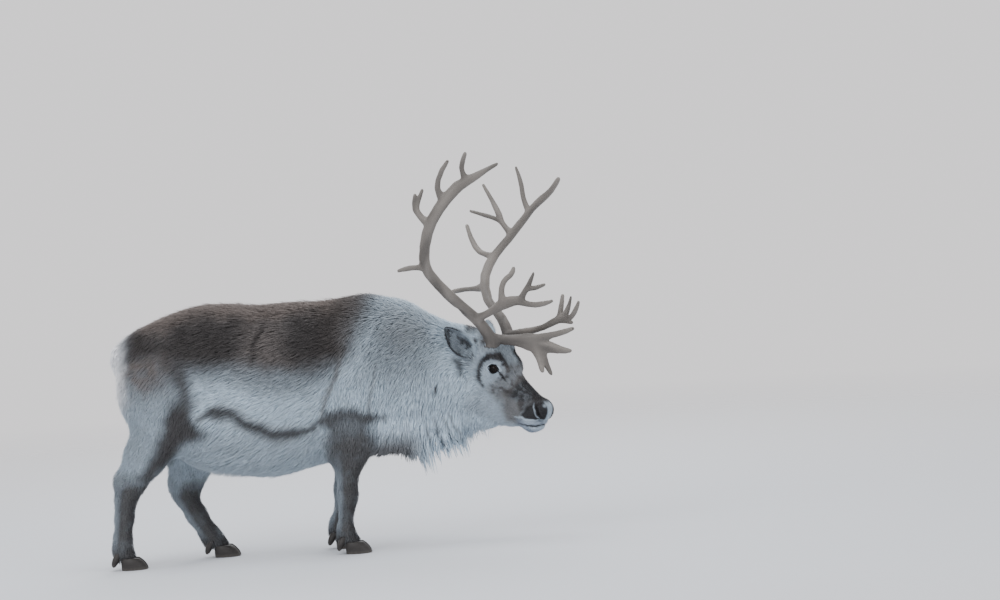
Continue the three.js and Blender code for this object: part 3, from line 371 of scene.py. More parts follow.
def pedicle_ends(side):
    """The foot and the top of the post under an antler."""
    return [from_head(f, side * out, z) for f, out, z in (PEDICLE["foot"], PEDICLE["top"])]


PEDICLES = [
    limb([[*end, radius, radius] for end, radius in zip(pedicle_ends(side), PEDICLE["radius"])])
    for side in ANTLER_SIDES.values()
]

# Swellings of the head on each side: along, out, above and three radii
BOSSES = [
    (0.086, 0.054, 0.016, 0.044, 0.027, 0.033),
    (0.056, 0.058, 0.044, 0.034, 0.017, 0.014),
    (0.062, 0.044, -0.062, 0.066, 0.032, 0.050),
    (0.014, 0.054, 0.050, 0.034, 0.028, 0.030),
    (0.302, 0.024, -0.012, 0.028, 0.024, 0.026),
    (0.296, 0.022, -0.074, 0.034, 0.023, 0.022),
]


def on_head(f, z, deep, wide):
    """A joint of the ruff, on the head's middle line."""
    x, y, _ = from_head(f, 0, z)
    return [x, y, z, deep, wide]


RUFF = limb([
    on_head(-0.010, 0.560, 0.130, 0.108),
    on_head(0.060, 0.512, 0.092, 0.084),
    on_head(0.130, 0.464, 0.046, 0.046),
], 0.024)


def head(p):
    """The head with its swellings, the posts of its antlers and its ruff."""
    along, out, above = face_of(p)
    d = skull(p)
    for a, o, b, *radii in BOSSES:
        for side in (1, -1):
            away = np.stack([along - a, out - side * o, above - b], -1)
            d = blend(d, (length_of(away / radii) - 1) * min(radii), 0.026)
    for pedicle in PEDICLES:
        d = blend(d, pedicle(p), 0.022)
    return blend(d, RUFF(p), 0.036)


def flesh(p):
    """The whole animal's outline at the coat's surface."""
    d = blend(trunk(p), blend(CREST(p), THROAT(p), 0.040), 0.060)
    for swell in SWELLS:
        d = blend(d, swell(p), 0.050)
    for leg in LEGS.values():
        d = blend(d, blend(leg["chain"](p), leg["point"](p), 0.026), 0.046)
    d = blend(d, TAIL(p), 0.020)
    return blend(d, head(p), 0.030)


def slope_of(field, p, step=0.0005):
    """How a distance changes along each axis."""
    shifts = np.eye(3) * step
    return np.stack([field(p + shift) - field(p - shift) for shift in shifts], -1) / (2 * step)


def settle(field, p, turns, most):
    """Places drawn onto the field's surface."""
    for _ in range(turns):
        slope = slope_of(field, p)
        step = -field(p)[:, None] * slope / np.maximum(dot(slope, slope), 0.05)[:, None]
        p = p + step * np.minimum(1, most / np.maximum(length_of(step), 1e-9))[:, None]
    return p


# The skin as a mesh

SKIN_LOW, SKIN_HIGH = row(-0.45, -0.34, 0.030), row(1.26, 0.30, 0.99)


def sampled(field, low, counts, cell):
    """The field on a grid, worked out in full only near its surface."""
    ratio = round(BAND_CELL / cell)
    blocks = -(-counts // ratio)
    coarse = [low[a] + cell * (ratio - 1) / 2 + cell * ratio * np.arange(blocks[a]) for a in range(3)]
    places = np.stack(np.meshgrid(*coarse, indexing="ij"), -1)
    rough = field(places.reshape(-1, 3)).reshape(places.shape[:3])
    for axis in range(3):
        rough = np.repeat(rough, ratio, axis=axis)
    value = rough[:counts[0], :counts[1], :counts[2]].copy()
    near = np.argwhere(np.abs(value) < BAND)
    value[tuple(near.T)] = field(low + cell * near)
    return value


def surface_of(field, low, high, cell):
    """Corners and four-sided faces of the field's surface, one corner a cell that it crosses."""
    counts = (np.ceil((high - low) / cell) + 1).astype(int)
    value = sampled(field, low, counts, cell)
    inside = value < 0
    total = np.zeros(tuple(counts - 1) + (3,), np.float32)
    hits = np.zeros(tuple(counts - 1), np.float32)
    crossings = []
    for axis in range(3):
        first, second = [slice(None)] * 3, [slice(None)] * 3
        first[axis], second[axis] = slice(0, -1), slice(1, None)
        a, b = value[tuple(first)], value[tuple(second)]
        cross = inside[tuple(first)] != inside[tuple(second)]
        share = np.where(cross, a / np.where(cross, a - b, 1), 0)
        crossings.append(cross)
        u, v = [k for k in range(3) if k != axis]
        for du, dv in np.ndindex(2, 2):
            window = [slice(None)] * 3
            window[u], window[v] = slice(du, counts[u] - 1 + du), slice(dv, counts[v] - 1 + dv)
            met = cross[tuple(window)]
            hits += met
            total[..., axis] += share[tuple(window)]
            total[..., u] += met * du
            total[..., v] += met * dv
    cells = np.argwhere(hits > 0)
    at = tuple(cells.T)
    corners = low + cell * (cells + total[at] / hits[at][:, None])
    number = np.full(hits.shape, -1)
    number[at] = np.arange(len(cells))
    faces = []
    for axis in range(3):
        u, v = (axis + 1) % 3, (axis + 2) % 3
        edges = np.argwhere(crossings[axis])
        across = edges[:, [u, v]]
        edges = edges[((across > 0) & (across < counts[[u, v]] - 1)).all(axis=1)]
        ring = []
        for du, dv in ((0, 0), (1, 0), (1, 1), (0, 1)):
            shift = np.zeros(3, int)
            shift[u], shift[v] = du, dv
            ring.append(number[tuple((edges - shift).T)])
        ring = np.stack(ring, 1)
        flip = ~inside[tuple(edges.T)]
        ring[flip] = ring[flip][:, ::-1]
        faces.append(ring)
    return corners, np.concatenate(faces)


def mesh_of(name, corners, faces):
    """A mesh from arrays; faces is an array, or a list of arrays, of equal-sided faces."""
    groups = [faces] if isinstance(faces, np.ndarray) else faces
    mesh = bpy.data.meshes.new(name)
    mesh.vertices.add(len(corners))
    mesh.vertices.foreach_set("co", np.asarray(corners, np.float32).ravel())
    sizes = np.concatenate([np.full(len(g), g.shape[1]) for g in groups])
    loops = np.concatenate([g.ravel() for g in groups])
    mesh.loops.add(len(loops))
    mesh.loops.foreach_set("vertex_index", loops.astype(np.int32))
    mesh.polygons.add(len(sizes))
    mesh.polygons.foreach_set("loop_start", (np.cumsum(sizes) - sizes).astype(np.int32))
    mesh.polygons.foreach_set("use_smooth", np.ones(len(sizes), bool))
    mesh.update(calc_edges=True)
    mesh.validate()
    return mesh


def closed_mesh(name, corners, faces):
    """A closed mesh whose faces are turned outwards, whichever way they were drawn."""
    mesh = mesh_of(name, corners, faces)
    places, triangles = arrays_of(mesh)
    a, b, c = (places[triangles[:, k]] for k in range(3))
    if dot(a, np.cross(b, c)).sum() < 0:
        mesh.flip_normals()
    return mesh


def arrays_of(mesh):
    """A mesh's corners and triangles as arrays."""
    corners = np.empty(len(mesh.vertices) * 3, np.float32)
    mesh.vertices.foreach_get("co", corners)
    mesh.calc_loop_triangles()
    triangles = np.empty(len(mesh.loop_triangles) * 3, np.int32)
    mesh.loop_triangles.foreach_get("vertices", triangles)
    return corners.reshape(-1, 3).astype(float), triangles.reshape(-1, 3)


def normals_of(corners, triangles):
    """The outward way at each corner."""
    a, b, c = (corners[triangles[:, k]] for k in range(3))
    across = np.cross(b - a, c - a)
    normals = np.zeros_like(corners)
    for k in range(3):
        np.add.at(normals, triangles[:, k], across)
    return unit(normals)


def edges_of(triangles):
    """Each edge once, as a pair of corners."""
    pairs = np.concatenate([triangles[:, [0, 1]], triangles[:, [1, 2]], triangles[:, [2, 0]]])
    return np.unique(np.sort(pairs, axis=1), axis=0)


def spread(values, edges, turns, pull=0.5, weights=None):
    """Values at corners drawn towards the mean of their neighbours', turn by turn."""
    a, b = edges.T
    count = len(values)
    weights = np.ones(len(edges)) if weights is None else weights
    total = np.bincount(a, weights, count) + np.bincount(b, weights, count)
    for _ in range(turns):
        around = [
            np.bincount(a, value[b] * weights, count) + np.bincount(b, value[a] * weights, count)
            for value in values.T
        ]
        values = lerp(values, np.stack(around, 1) / total[:, None], pull)
    return values


def remeshed(corners, triangles, cell):
    """One closed surface round all that the triangles enclose."""
    piece = bpy.data.objects.new("remesh", mesh_of("remesh", corners, triangles))
    bpy.context.scene.collection.objects.link(piece)
    modifier = piece.modifiers.new("remesh", "REMESH")
    modifier.mode, modifier.voxel_size = "VOXEL", cell
    shape = bpy.data.meshes.new_from_object(piece.evaluated_get(bpy.context.evaluated_depsgraph_get()))
    bpy.data.objects.remove(piece)
    return arrays_of(shape)


def grid_faces(rows, columns, start=0, closed=False):
    """Four-sided faces between rows of corners; a closed grid joins its last column to its first."""
    strips = columns if closed else columns - 1
    row_at, column = np.meshgrid(np.arange(rows - 1), np.arange(strips), indexing="ij")
    after = (column + 1) % columns
    here, ahead = start + row_at * columns, start + (row_at + 1) * columns
    return np.stack([here + column, here + after, ahead + after, ahead + column], -1).reshape(-1, 4)


def loft(rings):
    """Corners and faces of a closed solid through rings of equal count, each end drawn to its middle."""
    count, sides = rings.shape[:2]
    ends = np.stack([rings[0].mean(axis=0), rings[-1].mean(axis=0)])
    corners = np.concatenate([rings.reshape(-1, 3), ends])
    turn = np.arange(sides)
    after, last = (turn + 1) % sides, (count - 1) * sides
    first = np.stack([after, turn, np.full(sides, count * sides)], 1)
    final = np.stack([last + turn, last + after, np.full(sides, count * sides + 1)], 1)
    return corners, [grid_faces(count, sides, closed=True), first, final]


def refined(mesh, wanted):
    """Splits the faces whose middles are wanted into four."""
    build = bmesh.new()
    build.from_mesh(mesh)
    centres = np.array([face.calc_center_median() for face in build.faces])
    chosen = wanted(centres)
    edges = {edge for face, take in zip(build.faces, chosen) if take for edge in face.edges}
    bmesh.ops.subdivide_edges(build, edges=list(edges), cuts=1, use_grid_fill=True)
    build.to_mesh(mesh)
    build.free()


def capped(mesh):
    """Closes the mesh's open ends."""
    build = bmesh.new()
    build.from_mesh(mesh)
    rims = [edge for edge in build.edges if edge.is_boundary]
    caps = bmesh.ops.holes_fill(build, edges=rims)["faces"]
    bmesh.ops.triangulate(build, faces=caps)
    build.to_mesh(mesh)
    build.free()


def place(name, mesh, finish, slot, *nodes):
    """Puts a mesh that is in the animal's frame into the scene as a piece."""
    mesh.transform(Matrix.Translation(Vector(ORIGIN)))
    piece = bpy.data.objects.new(name, mesh)
    bpy.context.scene.collection.objects.link(piece)
    mesh.materials.append(finish.material)
    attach(piece, "root")
    if nodes:
        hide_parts(*nodes)


# Finishes

class Shade:
    """A value behind a finish's surface, so that shader sums read as Python."""

    def __init__(self, finish, socket):
        self.finish = finish
        self.socket = socket

    def math(self, operation, *terms):
        return self.finish.node("ShaderNodeMath", {"operation": operation}, dict(enumerate(terms)))

    def __add__(self, other):
        return self.math("ADD", self, other)

    __radd__ = __add__

    def __mul__(self, other):
        return self.math("MULTIPLY", self, other)

    __rmul__ = __mul__

    def __sub__(self, other):
        return self.math("SUBTRACT", self, other)

    def __rsub__(self, other):
        return self.math("SUBTRACT", other, self)


class Finish:
    """One material: constants on its surface, and the nodes behind what changes over it."""

    def __init__(self, name, **constants):
        self.material = bpy.data.materials.new(name)
        self.material.use_nodes = True
        self.tree = self.material.node_tree
        self.surface = self.tree.nodes["Principled BSDF"]
        for socket, value in constants.items():
            self.set(socket.replace("_", " "), value)

    def plug(self, socket, value):
        if isinstance(value, Shade):
            self.tree.links.new(value.socket, socket)
        else:
            socket.default_value = value

    def set(self, socket, value):
        self.plug(self.surface.inputs[socket], value)

    def node(self, kind, settings, inputs, output=0):
        made = self.tree.nodes.new(kind)
        for key, value in settings.items():
            if key == "stops":
                stops = made.color_ramp.elements
                while len(stops) < len(value):
                    stops.new(0.5)
                for stop, (at, colour) in zip(stops, value):
                    stop.position, stop.color = at, colour
            else:
                setattr(made, key, value)
        for key, value in inputs.items():
            self.plug(made.inputs[key], value)
        return Shade(self, made.outputs[output])

    def noise(self, scale, detail, where=None):
        inputs = {"Scale": scale, "Detail": detail, "Vector": where or self.object_place()}
        return self.node("ShaderNodeTexNoise", {}, inputs, "Fac")

    def object_place(self):
        return self.node("ShaderNodeTexCoord", {}, {}, "Object")

    def attribute(self, name, output="Fac"):
        return self.node("ShaderNodeAttribute", {"attribute_name": name}, {}, output)

    def ramp(self, value, *stops):
        return self.node("ShaderNodeValToRGB", {"stops": stops}, {"Fac": value}, "Color")

    def band(self, value, low, high, from_low=0.0, from_high=1.0):
        """The value's range spread over another, held at its ends."""
        inputs = {"Value": value, "From Min": from_low, "From Max": from_high, "To Min": low, "To Max": high}
        return self.node("ShaderNodeMapRange", {}, inputs)

    def mix(self, share, first, second):
        return self.node("ShaderNodeMix", {"data_type": "RGBA"}, {0: share, 6: first, 7: second}, 2)

    def tint(self, colour, share):
        """A colour made lighter or darker by a value."""
        return self.node("ShaderNodeVectorMath", {"operation": "SCALE"}, {0: colour, 3: share})

    def bump(self, height, distance, strength):
        inputs = {"Height": height, "Distance": distance, "Strength": strength}
        self.set("Normal", self.node("ShaderNodeBump", {}, inputs, "Normal"))


def tone(red, green, blue):
    return (red, green, blue, 1.0)


# Coat colours
COAT_TONES = {
    "snow": row(0.93, 0.94, 0.97),
    "white": row(0.62, 0.745, 0.85),
    "pale": row(0.47, 0.555, 0.635),
    "grey": row(0.225, 0.255, 0.285),
    "saddle": row(0.088, 0.073, 0.066),
    "saddle_top": row(0.215, 0.178, 0.160),
    "saddle_dark": row(0.026, 0.021, 0.020),
    "umber": row(0.062, 0.056, 0.056),
    "leg": row(0.115, 0.115, 0.118),
    "leg_dark": row(0.035, 0.034, 0.037),
    "buff": row(0.185, 0.178, 0.176),
    "face_dark": row(0.022, 0.020, 0.022),
    "muzzle": row(0.27, 0.325, 0.41),
}


def hair_finish(name, streak, roughness):
    """Hair: the coat's colour, darker at each tuft's root for its grey base and painted shade, varied from
    tuft to tuft.
    """
    finish = Finish(
        name, Roughness=roughness, Specular_IOR_Level=0.18, Sheen_Weight=0.12, Sheen_Roughness=0.6,
    )
    along = finish.attribute("along")
    chance = finish.attribute("chance")
    strands = finish.node("ShaderNodeMapping", {}, {
        "Vector": finish.node("ShaderNodeUVMap", {"uv_map": "Strand"}, {}), "Scale": (streak, 0.8, 1.0),
    })
    fine = finish.noise(1.0, 3.0, strands)
    # Painted shade: each tuft darker towards its root, for the hair's grey base and for shade deep in the
    # coat
    shade = finish.band(along, 0.88, 1.04) + finish.band(chance, -0.06, 0.06)
    shade = shade + finish.band(fine, -0.06, 0.06, 0.3, 0.7)
    finish.set("Base Color", finish.tint(finish.attribute("coat", "Color"), shade))
    finish.bump(fine, 0.0006, 0.6)
    return finish


def skin_finish():
    """The underfur on the skin, which shows only between the tufts, darkened for its own grey and as painted
    shade.
    """
    finish = Finish("underfur", Roughness=0.85, Specular_IOR_Level=0.1)
    wool = finish.noise(420.0, 2.0)
    # Painted shade: the coat's colour mostly darkened between the tufts, partly for the underfur's own grey
    shade = finish.band(wool, 0.76, 1.05, 0.3, 0.7)
    finish.set("Base Color", finish.tint(finish.attribute("coat", "Color"), shade))
    finish.bump(wool, 0.0012, 0.8)
    return finish


def antler_finish():
    """Bare antler: grey-brown, stained dark in its grooves and at the burr, worn pale at the tips."""
    finish = Finish("antler", Roughness=0.55, Specular_IOR_Level=0.35)
    groove = finish.band(finish.attribute("groove"), 0.0, 1.0, -1.6, 1.6)
    worn = finish.attribute("worn")
    stain = finish.noise(16.0, 4.0)
    pits = finish.noise(420.0, 3.0)
    tint = finish.band(worn + 0.35 * stain, 0.0, 1.0, 0.10, 1.15)
    bone = finish.ramp(tint, (0.0, tone(0.055, 0.050, 0.047)), (0.35, tone(0.134, 0.121, 0.110)),
                       (0.75, tone(0.178, 0.163, 0.147)), (1.0, tone(0.25, 0.235, 0.215)))
    shade = finish.band(groove, 0.68, 1.20) + finish.band(pits, -0.10, 0.10, 0.3, 0.7)
    finish.set("Base Color", finish.tint(bone, shade))
    finish.set("Roughness", finish.band(stain, 0.42, 0.62, 0.3, 0.7))
    finish.bump(pits * 0.5 + groove * 0.5, 0.0012, 0.5)
    return finish


def horn_finish():
    """Hoof horn: near black, with growth lines round it and scuffed pale along the ground."""
    finish = Finish("horn", Roughness=0.5, Specular_IOR_Level=0.4)
    rise = finish.attribute("rise")
    along = {"W": rise, "Scale": 26.0, "Detail": 3.0}
    lines = finish.node("ShaderNodeTexNoise", {"noise_dimensions": "1D"}, along)
    scuff = finish.noise(120.0, 4.0)
    worn = finish.band(rise - 0.25 * scuff, 1.0, 0.0, -0.06, 0.16)
    ringed = finish.band(lines, 0.0, 1.0, 0.35, 0.65)
    horn = finish.mix(ringed, tone(0.017, 0.015, 0.014), tone(0.027, 0.023, 0.021))
    finish.set("Base Color", finish.mix(worn * 0.35, horn, tone(0.12, 0.108, 0.096)))
    finish.set("Roughness", finish.band(scuff, 0.38, 0.62, 0.3, 0.7))
    finish.bump(lines * 0.4 + scuff * 0.6, 0.0006, 0.5)
    return finish


def eye_finish():
    """The eyeball: wet and near black, its iris only a little paler than the pupil."""
    finish = Finish("eye", Roughness=0.05, Specular_IOR_Level=0.15)
    fibres = finish.noise(900.0, 3.0)
    iris = finish.band(fibres, 0.6, 1.3, 0.3, 0.7)
    finish.set("Base Color", finish.tint(finish.attribute("coat", "Color"), iris))
    return finish


# Markings, painted shade and a painted highlight, as masks over the side view and over the face

def along_line(points, p):
    """The distance from a line through points, and the share of its length, for places (x, z)."""
    points = np.array(points, float)
    lengths = length_of(np.diff(points, axis=0))
    total, walked = lengths.sum(), 0.0
    nearest, share = np.full(len(p), np.inf), np.zeros(len(p))
    for a, b, size in zip(points[:-1], points[1:], lengths):
        t = np.clip((p - a) @ (b - a) / size ** 2, 0, 1)
        far = length_of(p - a - t[:, None] * (b - a))
        closer = far < nearest
        nearest, share = np.where(closer, far, nearest), np.where(closer, (walked + t * size) / total, share)
        walked += size
    return nearest, share


def patch(points, p, soft):
    """1 inside an outline, 0 outside and a soft edge, for places (x, z)."""
    points = np.array(points, float)
    far, _ = along_line(np.vstack([points, points[:1]]), p)
    inside = np.zeros(len(p), bool)
    for a, b in zip(points, np.roll(points, -1, axis=0)):
        spans = (a[1] > p[:, 1]) != (b[1] > p[:, 1])
        rise = b[1] - a[1] or 1e-9
        inside ^= spans & (p[:, 0] < a[0] + (p[:, 1] - a[1]) / rise * (b[0] - a[0]))
    return ease(-soft, soft, np.where(inside, far, -far))


def stroke(points, p, wide, soft):
    """A line with soft edges that thins to its ends, for places (x, z)."""
    far, share = along_line(points, p)
    half = wide * np.clip(np.minimum(share, 1 - share) * 5, 0.25, 1)
    return 1 - ease(half - soft * 0.5, half + soft, far)


SADDLE = [
    (-0.345, 0.80), (-0.34, 0.90), (-0.20, 1.0), (0.58, 1.0), (0.545, 0.95), (0.490, 0.88),
    (0.465, 0.84), (0.442, 0.735), (0.356, 0.694), (0.275, 0.682), (0.117, 0.712), (0.002, 0.726),
    (-0.089, 0.729), (-0.157, 0.740), (-0.188, 0.720), (-0.275, 0.712), (-0.345, 0.735),
]
SADDLE_FADE = [
    (-0.36, 0.69), (-0.345, 0.85), (-0.20, 1.0), (0.66, 1.0), (0.600, 0.90), (0.525, 0.84),
    (0.470, 0.72), (0.401, 0.645), (0.317, 0.605), (0.157, 0.615), (0.0, 0.668), (-0.092, 0.680),
    (-0.121, 0.600), (-0.176, 0.640), (-0.279, 0.650),
]
SADDLE_FRONT = [
    (0.38, 1.0), (0.600, 1.0), (0.565, 0.90), (0.520, 0.82), (0.490, 0.74), (0.430, 0.70), (0.36, 0.72),
]
CREST_SMUDGE = [(0.60, 0.86), (0.66, 0.90), (0.76, 0.83), (0.76, 0.76), (0.66, 0.74), (0.61, 0.78)]
SADDLE_DEEP = [
    [(-0.158, 0.865), (-0.03, 0.885), (0.084, 0.865), (0.092, 0.789), (0.05, 0.738), (-0.066, 0.730),
     (-0.168, 0.748), (-0.181, 0.809)],
    [(0.29, 0.865), (0.440, 0.870), (0.430, 0.735), (0.346, 0.695), (0.256, 0.722), (0.239, 0.789)],
    [(-0.325, 0.81), (-0.30, 0.85), (-0.26, 0.84), (-0.20, 0.80), (-0.25, 0.775), (-0.32, 0.77)],
]
SADDLE_TOP = [
    (-0.300, 0.870), (-0.240, 0.93), (-0.07, 0.98), (0.20, 0.97), (0.50, 0.97), (0.400, 0.885),
    (0.175, 0.872), (-0.077, 0.890), (-0.183, 0.849), (-0.250, 0.850),
]
SADDLE_LIGHT = [
    (0.095, 0.86), (0.235, 0.87), (0.235, 0.76), (0.250, 0.70), (0.080, 0.72), (0.100, 0.79),
]
SLASH = [(0.170, 0.854), (0.154, 0.813), (0.130, 0.757), (0.118, 0.712)]
FLANK_STRIPE = [
    (-0.072, 0.531), (-0.044, 0.553), (-0.005, 0.554), (0.042, 0.538), (0.083, 0.507), (0.141, 0.481),
    (0.201, 0.463), (0.261, 0.460), (0.330, 0.468),
]
SHOULDER_BAND = [(0.331, 0.488), (0.390, 0.506), (0.449, 0.514), (0.517, 0.505), (0.580, 0.490)]
SHOULDER_FOLD = [(0.442, 0.728), (0.415, 0.649), (0.378, 0.571), (0.349, 0.492)]
NECK_FOLD = [(0.565, 0.68), (0.538, 0.559), (0.518, 0.491)]
HAUNCH_BAND = [
    (-0.185, 0.76), (-0.118, 0.74), (-0.102, 0.62), (-0.094, 0.533), (-0.068, 0.47), (-0.138, 0.450),
    (-0.203, 0.395), (-0.270, 0.325), (-0.315, 0.335), (-0.258, 0.414), (-0.225, 0.490),
    (-0.212, 0.550), (-0.171, 0.591), (-0.150, 0.641), (-0.180, 0.712),
]
STIFLE = [
    (-0.175, 0.600), (-0.112, 0.580), (-0.096, 0.500), (-0.078, 0.472), (-0.140, 0.460),
    (-0.200, 0.402), (-0.262, 0.338), (-0.292, 0.345), (-0.240, 0.430), (-0.210, 0.500),
    (-0.205, 0.550),
]
CHEST_BUFF = [
    (0.49, 0.40), (0.56, 0.420), (0.66, 0.420), (0.70, 0.38), (0.69, 0.30), (0.58, 0.29), (0.48, 0.31),
]
ELBOW = [(0.372, 0.50), (0.520, 0.50), (0.518, 0.42), (0.510, 0.30), (0.370, 0.30), (0.380, 0.42)]
NECK_SHADE = [
    (0.52, 0.86), (0.60, 0.88), (0.74, 0.80), (0.80, 0.72), (0.74, 0.64), (0.62, 0.62), (0.52, 0.66),
]
NECK_MARK = [(0.777, 0.598), (0.772, 0.584), (0.767, 0.570)]
CROWN = [(0.882, 0.81), (0.960, 0.81), (0.958, 0.758), (0.902, 0.755)]
MANE_STREAKS = [
    [(0.732, 0.450), (0.740, 0.404), (0.751, 0.362)],
    [(0.762, 0.473), (0.770, 0.422), (0.792, 0.369)],
    [(0.787, 0.482), (0.804, 0.440), (0.819, 0.398)],
    [(0.816, 0.490), (0.838, 0.437), (0.855, 0.395)],
]


def painted(colour, *layers):
    """Colours with tones laid over them in turn; each layer is a tone and how thick it lies."""
    for name, share in layers:
        colour = lerp(colour, COAT_TONES[name], np.clip(share, 0, 1)[:, None])
    return colour


def between(low, low_soft, high_soft, high, value):
    """1 from low_soft to high_soft, and 0 below low and above high."""
    return ease(low, low_soft, value) * ease(high, high_soft, value)


def mottled(p, low, high, sizes, seed, fine=0.5):
    """Random blotches from 0 to 1 in two sizes."""
    return ease(low, high, grain(p, sizes[0], seed) + fine * grain(p, sizes[1], seed + 1))


def leg_shares(p):
    """For each place: how far it belongs to a leg below the body, and how far forward on it."""
    share, ahead = np.zeros(len(p)), np.zeros(len(p))
    for leg in LEGS.values():
        joints = leg["joints"]
        heights = joints[::-1, 2]
        x, y = (np.interp(p[:, 2], heights, joints[::-1, k]) for k in (0, 1))
        deep, wide = (np.interp(p[:, 2], heights, joints[::-1, k]) for k in (3, 4))
        reach = np.sqrt(((p[:, 0] - x) / deep) ** 2 + ((p[:, 1] - y) / wide) ** 2)
        mine = (1 - ease(1.25, 1.7, reach)) * (1 - ease(0.40, 0.52, p[:, 2]))
        ahead = np.where(mine > share, (p[:, 0] - x) / deep, ahead)
        share = np.maximum(share, mine)
    return share, ahead


def body_colour(p, side):
    """Colours over the trunk, neck and legs from the places in the side view."""
    x, z = side.T
    snow_edge = x + grain(p, 0.03, 3) * 0.010
    croup = (0.35 + 0.4 * mottled(p, -0.3, 0.6, (0.030, 0.012), 16)) * ease(-0.14, -0.22, x)
    chest = patch(CHEST_BUFF, side, 0.055)
    return painted(
        np.tile(COAT_TONES["white"], (len(p), 1)),
        ("grey", 0.75 * patch(NECK_SHADE, side, 0.10)),
        # Painted shade: bluish grey over the lower trunk, darker towards the belly
        ("grey", 0.35 * ease(0.52, 0.44, z) * ease(0.45, 0.38, x)),
        ("grey", 0.80 * patch(SADDLE_FADE, side, 0.050)),
        ("saddle", 0.75 * patch(SADDLE_FRONT, side, 0.045)),
        ("buff", 0.45 * patch(CREST_SMUDGE, side, 0.05)),
        ("grey", 0.38 * ease(-0.12, -0.20, x) * ease(0.36, 0.52, z)),
        ("saddle", (0.9 - 0.35 * ease(-0.18, -0.22, x) * ease(0.80, 0.76, z)) * patch(SADDLE, side, 0.046)),
        ("saddle_top", 0.7 * patch(SADDLE_TOP, side, 0.025)),
        *(("saddle_dark", 0.78 * patch(deep, side, 0.052)) for deep in SADDLE_DEEP),
        ("saddle_top", 0.30 * patch(SADDLE_LIGHT, side, 0.045)),
        ("saddle_dark", stroke(SLASH, side, 0.0048, 0.006)),
        ("saddle_top", croup * between(0.56, 0.70, 0.74, 0.80, z)),
        ("umber", 0.78 * patch(HAUNCH_BAND, side, 0.026)),
        ("umber", 0.85 * patch(STIFLE, side, 0.028)),
        ("leg", 0.8 * patch(ELBOW, side, 0.020)),
        ("buff", 0.85 * chest),
        ("umber", 0.5 * chest * ease(0.42, 0.36, z) * ease(0.70, 0.62, x)),
        ("buff", 0.75 * stroke(SHOULDER_FOLD, side, 0.005, 0.012)),
        ("buff", 0.45 * stroke(NECK_FOLD, side, 0.004, 0.012)),
        *(("grey", 0.8 * stroke(streak, side, 0.0035, 0.005)) for streak in MANE_STREAKS),
        ("buff", 0.60 * stroke(FLANK_STRIPE, side, 0.022, 0.020)),
        ("leg_dark", 0.85 * stroke(FLANK_STRIPE, side, 0.0100, 0.013)),
        ("umber", 0.85 * stroke(SHOULDER_BAND, side, 0.018, 0.022)),
        ("leg_dark", 0.95 * stroke(NECK_MARK, side, 0.005, 0.006)),
        ("umber", 0.9 * patch(CROWN, side, 0.012) * ease(0.075, 0.045, np.abs(p[:, 1] + 0.03))),
        ("snow", ease(-0.325, -0.375, snow_edge) * ease(0.52, 0.66, z)),
    )


def leg_colour(p, colour):
    """The colour with the legs' grey over it: darker in front, paler behind, darkest at the foot."""
    share, ahead = leg_shares(p)
    x, y, z = p.T
    legs = painted(
        np.tile(COAT_TONES["leg"], (len(p), 1)),
        ("leg_dark", 0.6 * ease(0.1, 0.75, ahead) * ease(0.40, 0.22, z)),
        ("grey", 0.35 * mottled(p, 0.0, 0.8, (0.028, 0.012), 18)),
        ("pale", 0.6 * ease(-0.2, -0.85, ahead) * between(0.04, 0.12, 0.26, 0.42, z)),
        ("leg_dark", 0.5 * ease(0.10, 0.05, z)),
    )
    high = lerp(0.385 - 0.06 * ease(0.0, 0.05, y), 0.50, ease(0.0, 0.2, x))
    return lerp(colour, legs, (share * ease(high, high - 0.09, z + grain(p, 0.03, 5) * 0.02))[:, None])


BROW_ARC = [
    (0.095, -0.058), (0.066, -0.046), (0.046, -0.024), (0.038, 0.008), (0.048, 0.038), (0.074, 0.060),
    (0.098, 0.066), (0.122, 0.053), (0.133, 0.034),
]
TEAR_LINE = [(0.108, 0.022), (0.127, 0.012), (0.148, 0.000)]
BRIDGE_PATCH = [
    (0.160, 0.036), (0.186, 0.060), (0.252, 0.045), (0.303, 0.033), (0.282, 0.008), (0.248, -0.010),
    (0.216, -0.034), (0.182, -0.046), (0.158, -0.040), (0.172, 0.000),
]
MUZZLE_JOIN = [
    (0.215, -0.030), (0.250, 0.020), (0.300, 0.030), (0.300, 0.000), (0.275, -0.030), (0.250, -0.062),
]
BRIDGE_SPOTS = [
    (0.165, -0.030), (0.175, 0.020), (0.215, 0.030), (0.262, 0.012), (0.268, -0.040), (0.215, -0.050),
]
CHEEK_SHADE = [
    (0.158, -0.042), (0.186, -0.082), (0.227, -0.124), (0.290, -0.095), (0.263, -0.06), (0.246, -0.02),
]
CHEEK_SPOTS = [
    (0.114, 0.060), (0.165, 0.058), (0.182, 0.020), (0.186, -0.040), (0.165, -0.078), (0.112, -0.060),
    (0.116, -0.024), (0.122, 0.020),
]
EAR_FRONT = [(-0.054, 0.056), (-0.015, 0.047), (0.008, 0.003), (-0.002, -0.049), (-0.044, -0.036)]
MUZZLE_DARK = [
    (0.262, -0.070), (0.262, -0.034), (0.277, 0.004), (0.298, 0.022), (0.336, 0.012), (0.352, -0.022),
    (0.332, -0.043), (0.290, -0.062),
]
NOSTRIL_RIM = [(0.280, 0.006), (0.287, -0.006), (0.302, -0.019), (0.326, -0.031)]
# The nostril's opening, painted dark as painted shade in its hollow
NOSTRIL = [(0.287, 0.008), (0.298, -0.002), (0.312, -0.011), (0.325, -0.021)]
UPPER_LIP = [
    (0.244, -0.088), (0.262, -0.074), (0.286, -0.066), (0.312, -0.050), (0.338, -0.030),
    (0.352, -0.044), (0.306, -0.076), (0.262, -0.100),
]
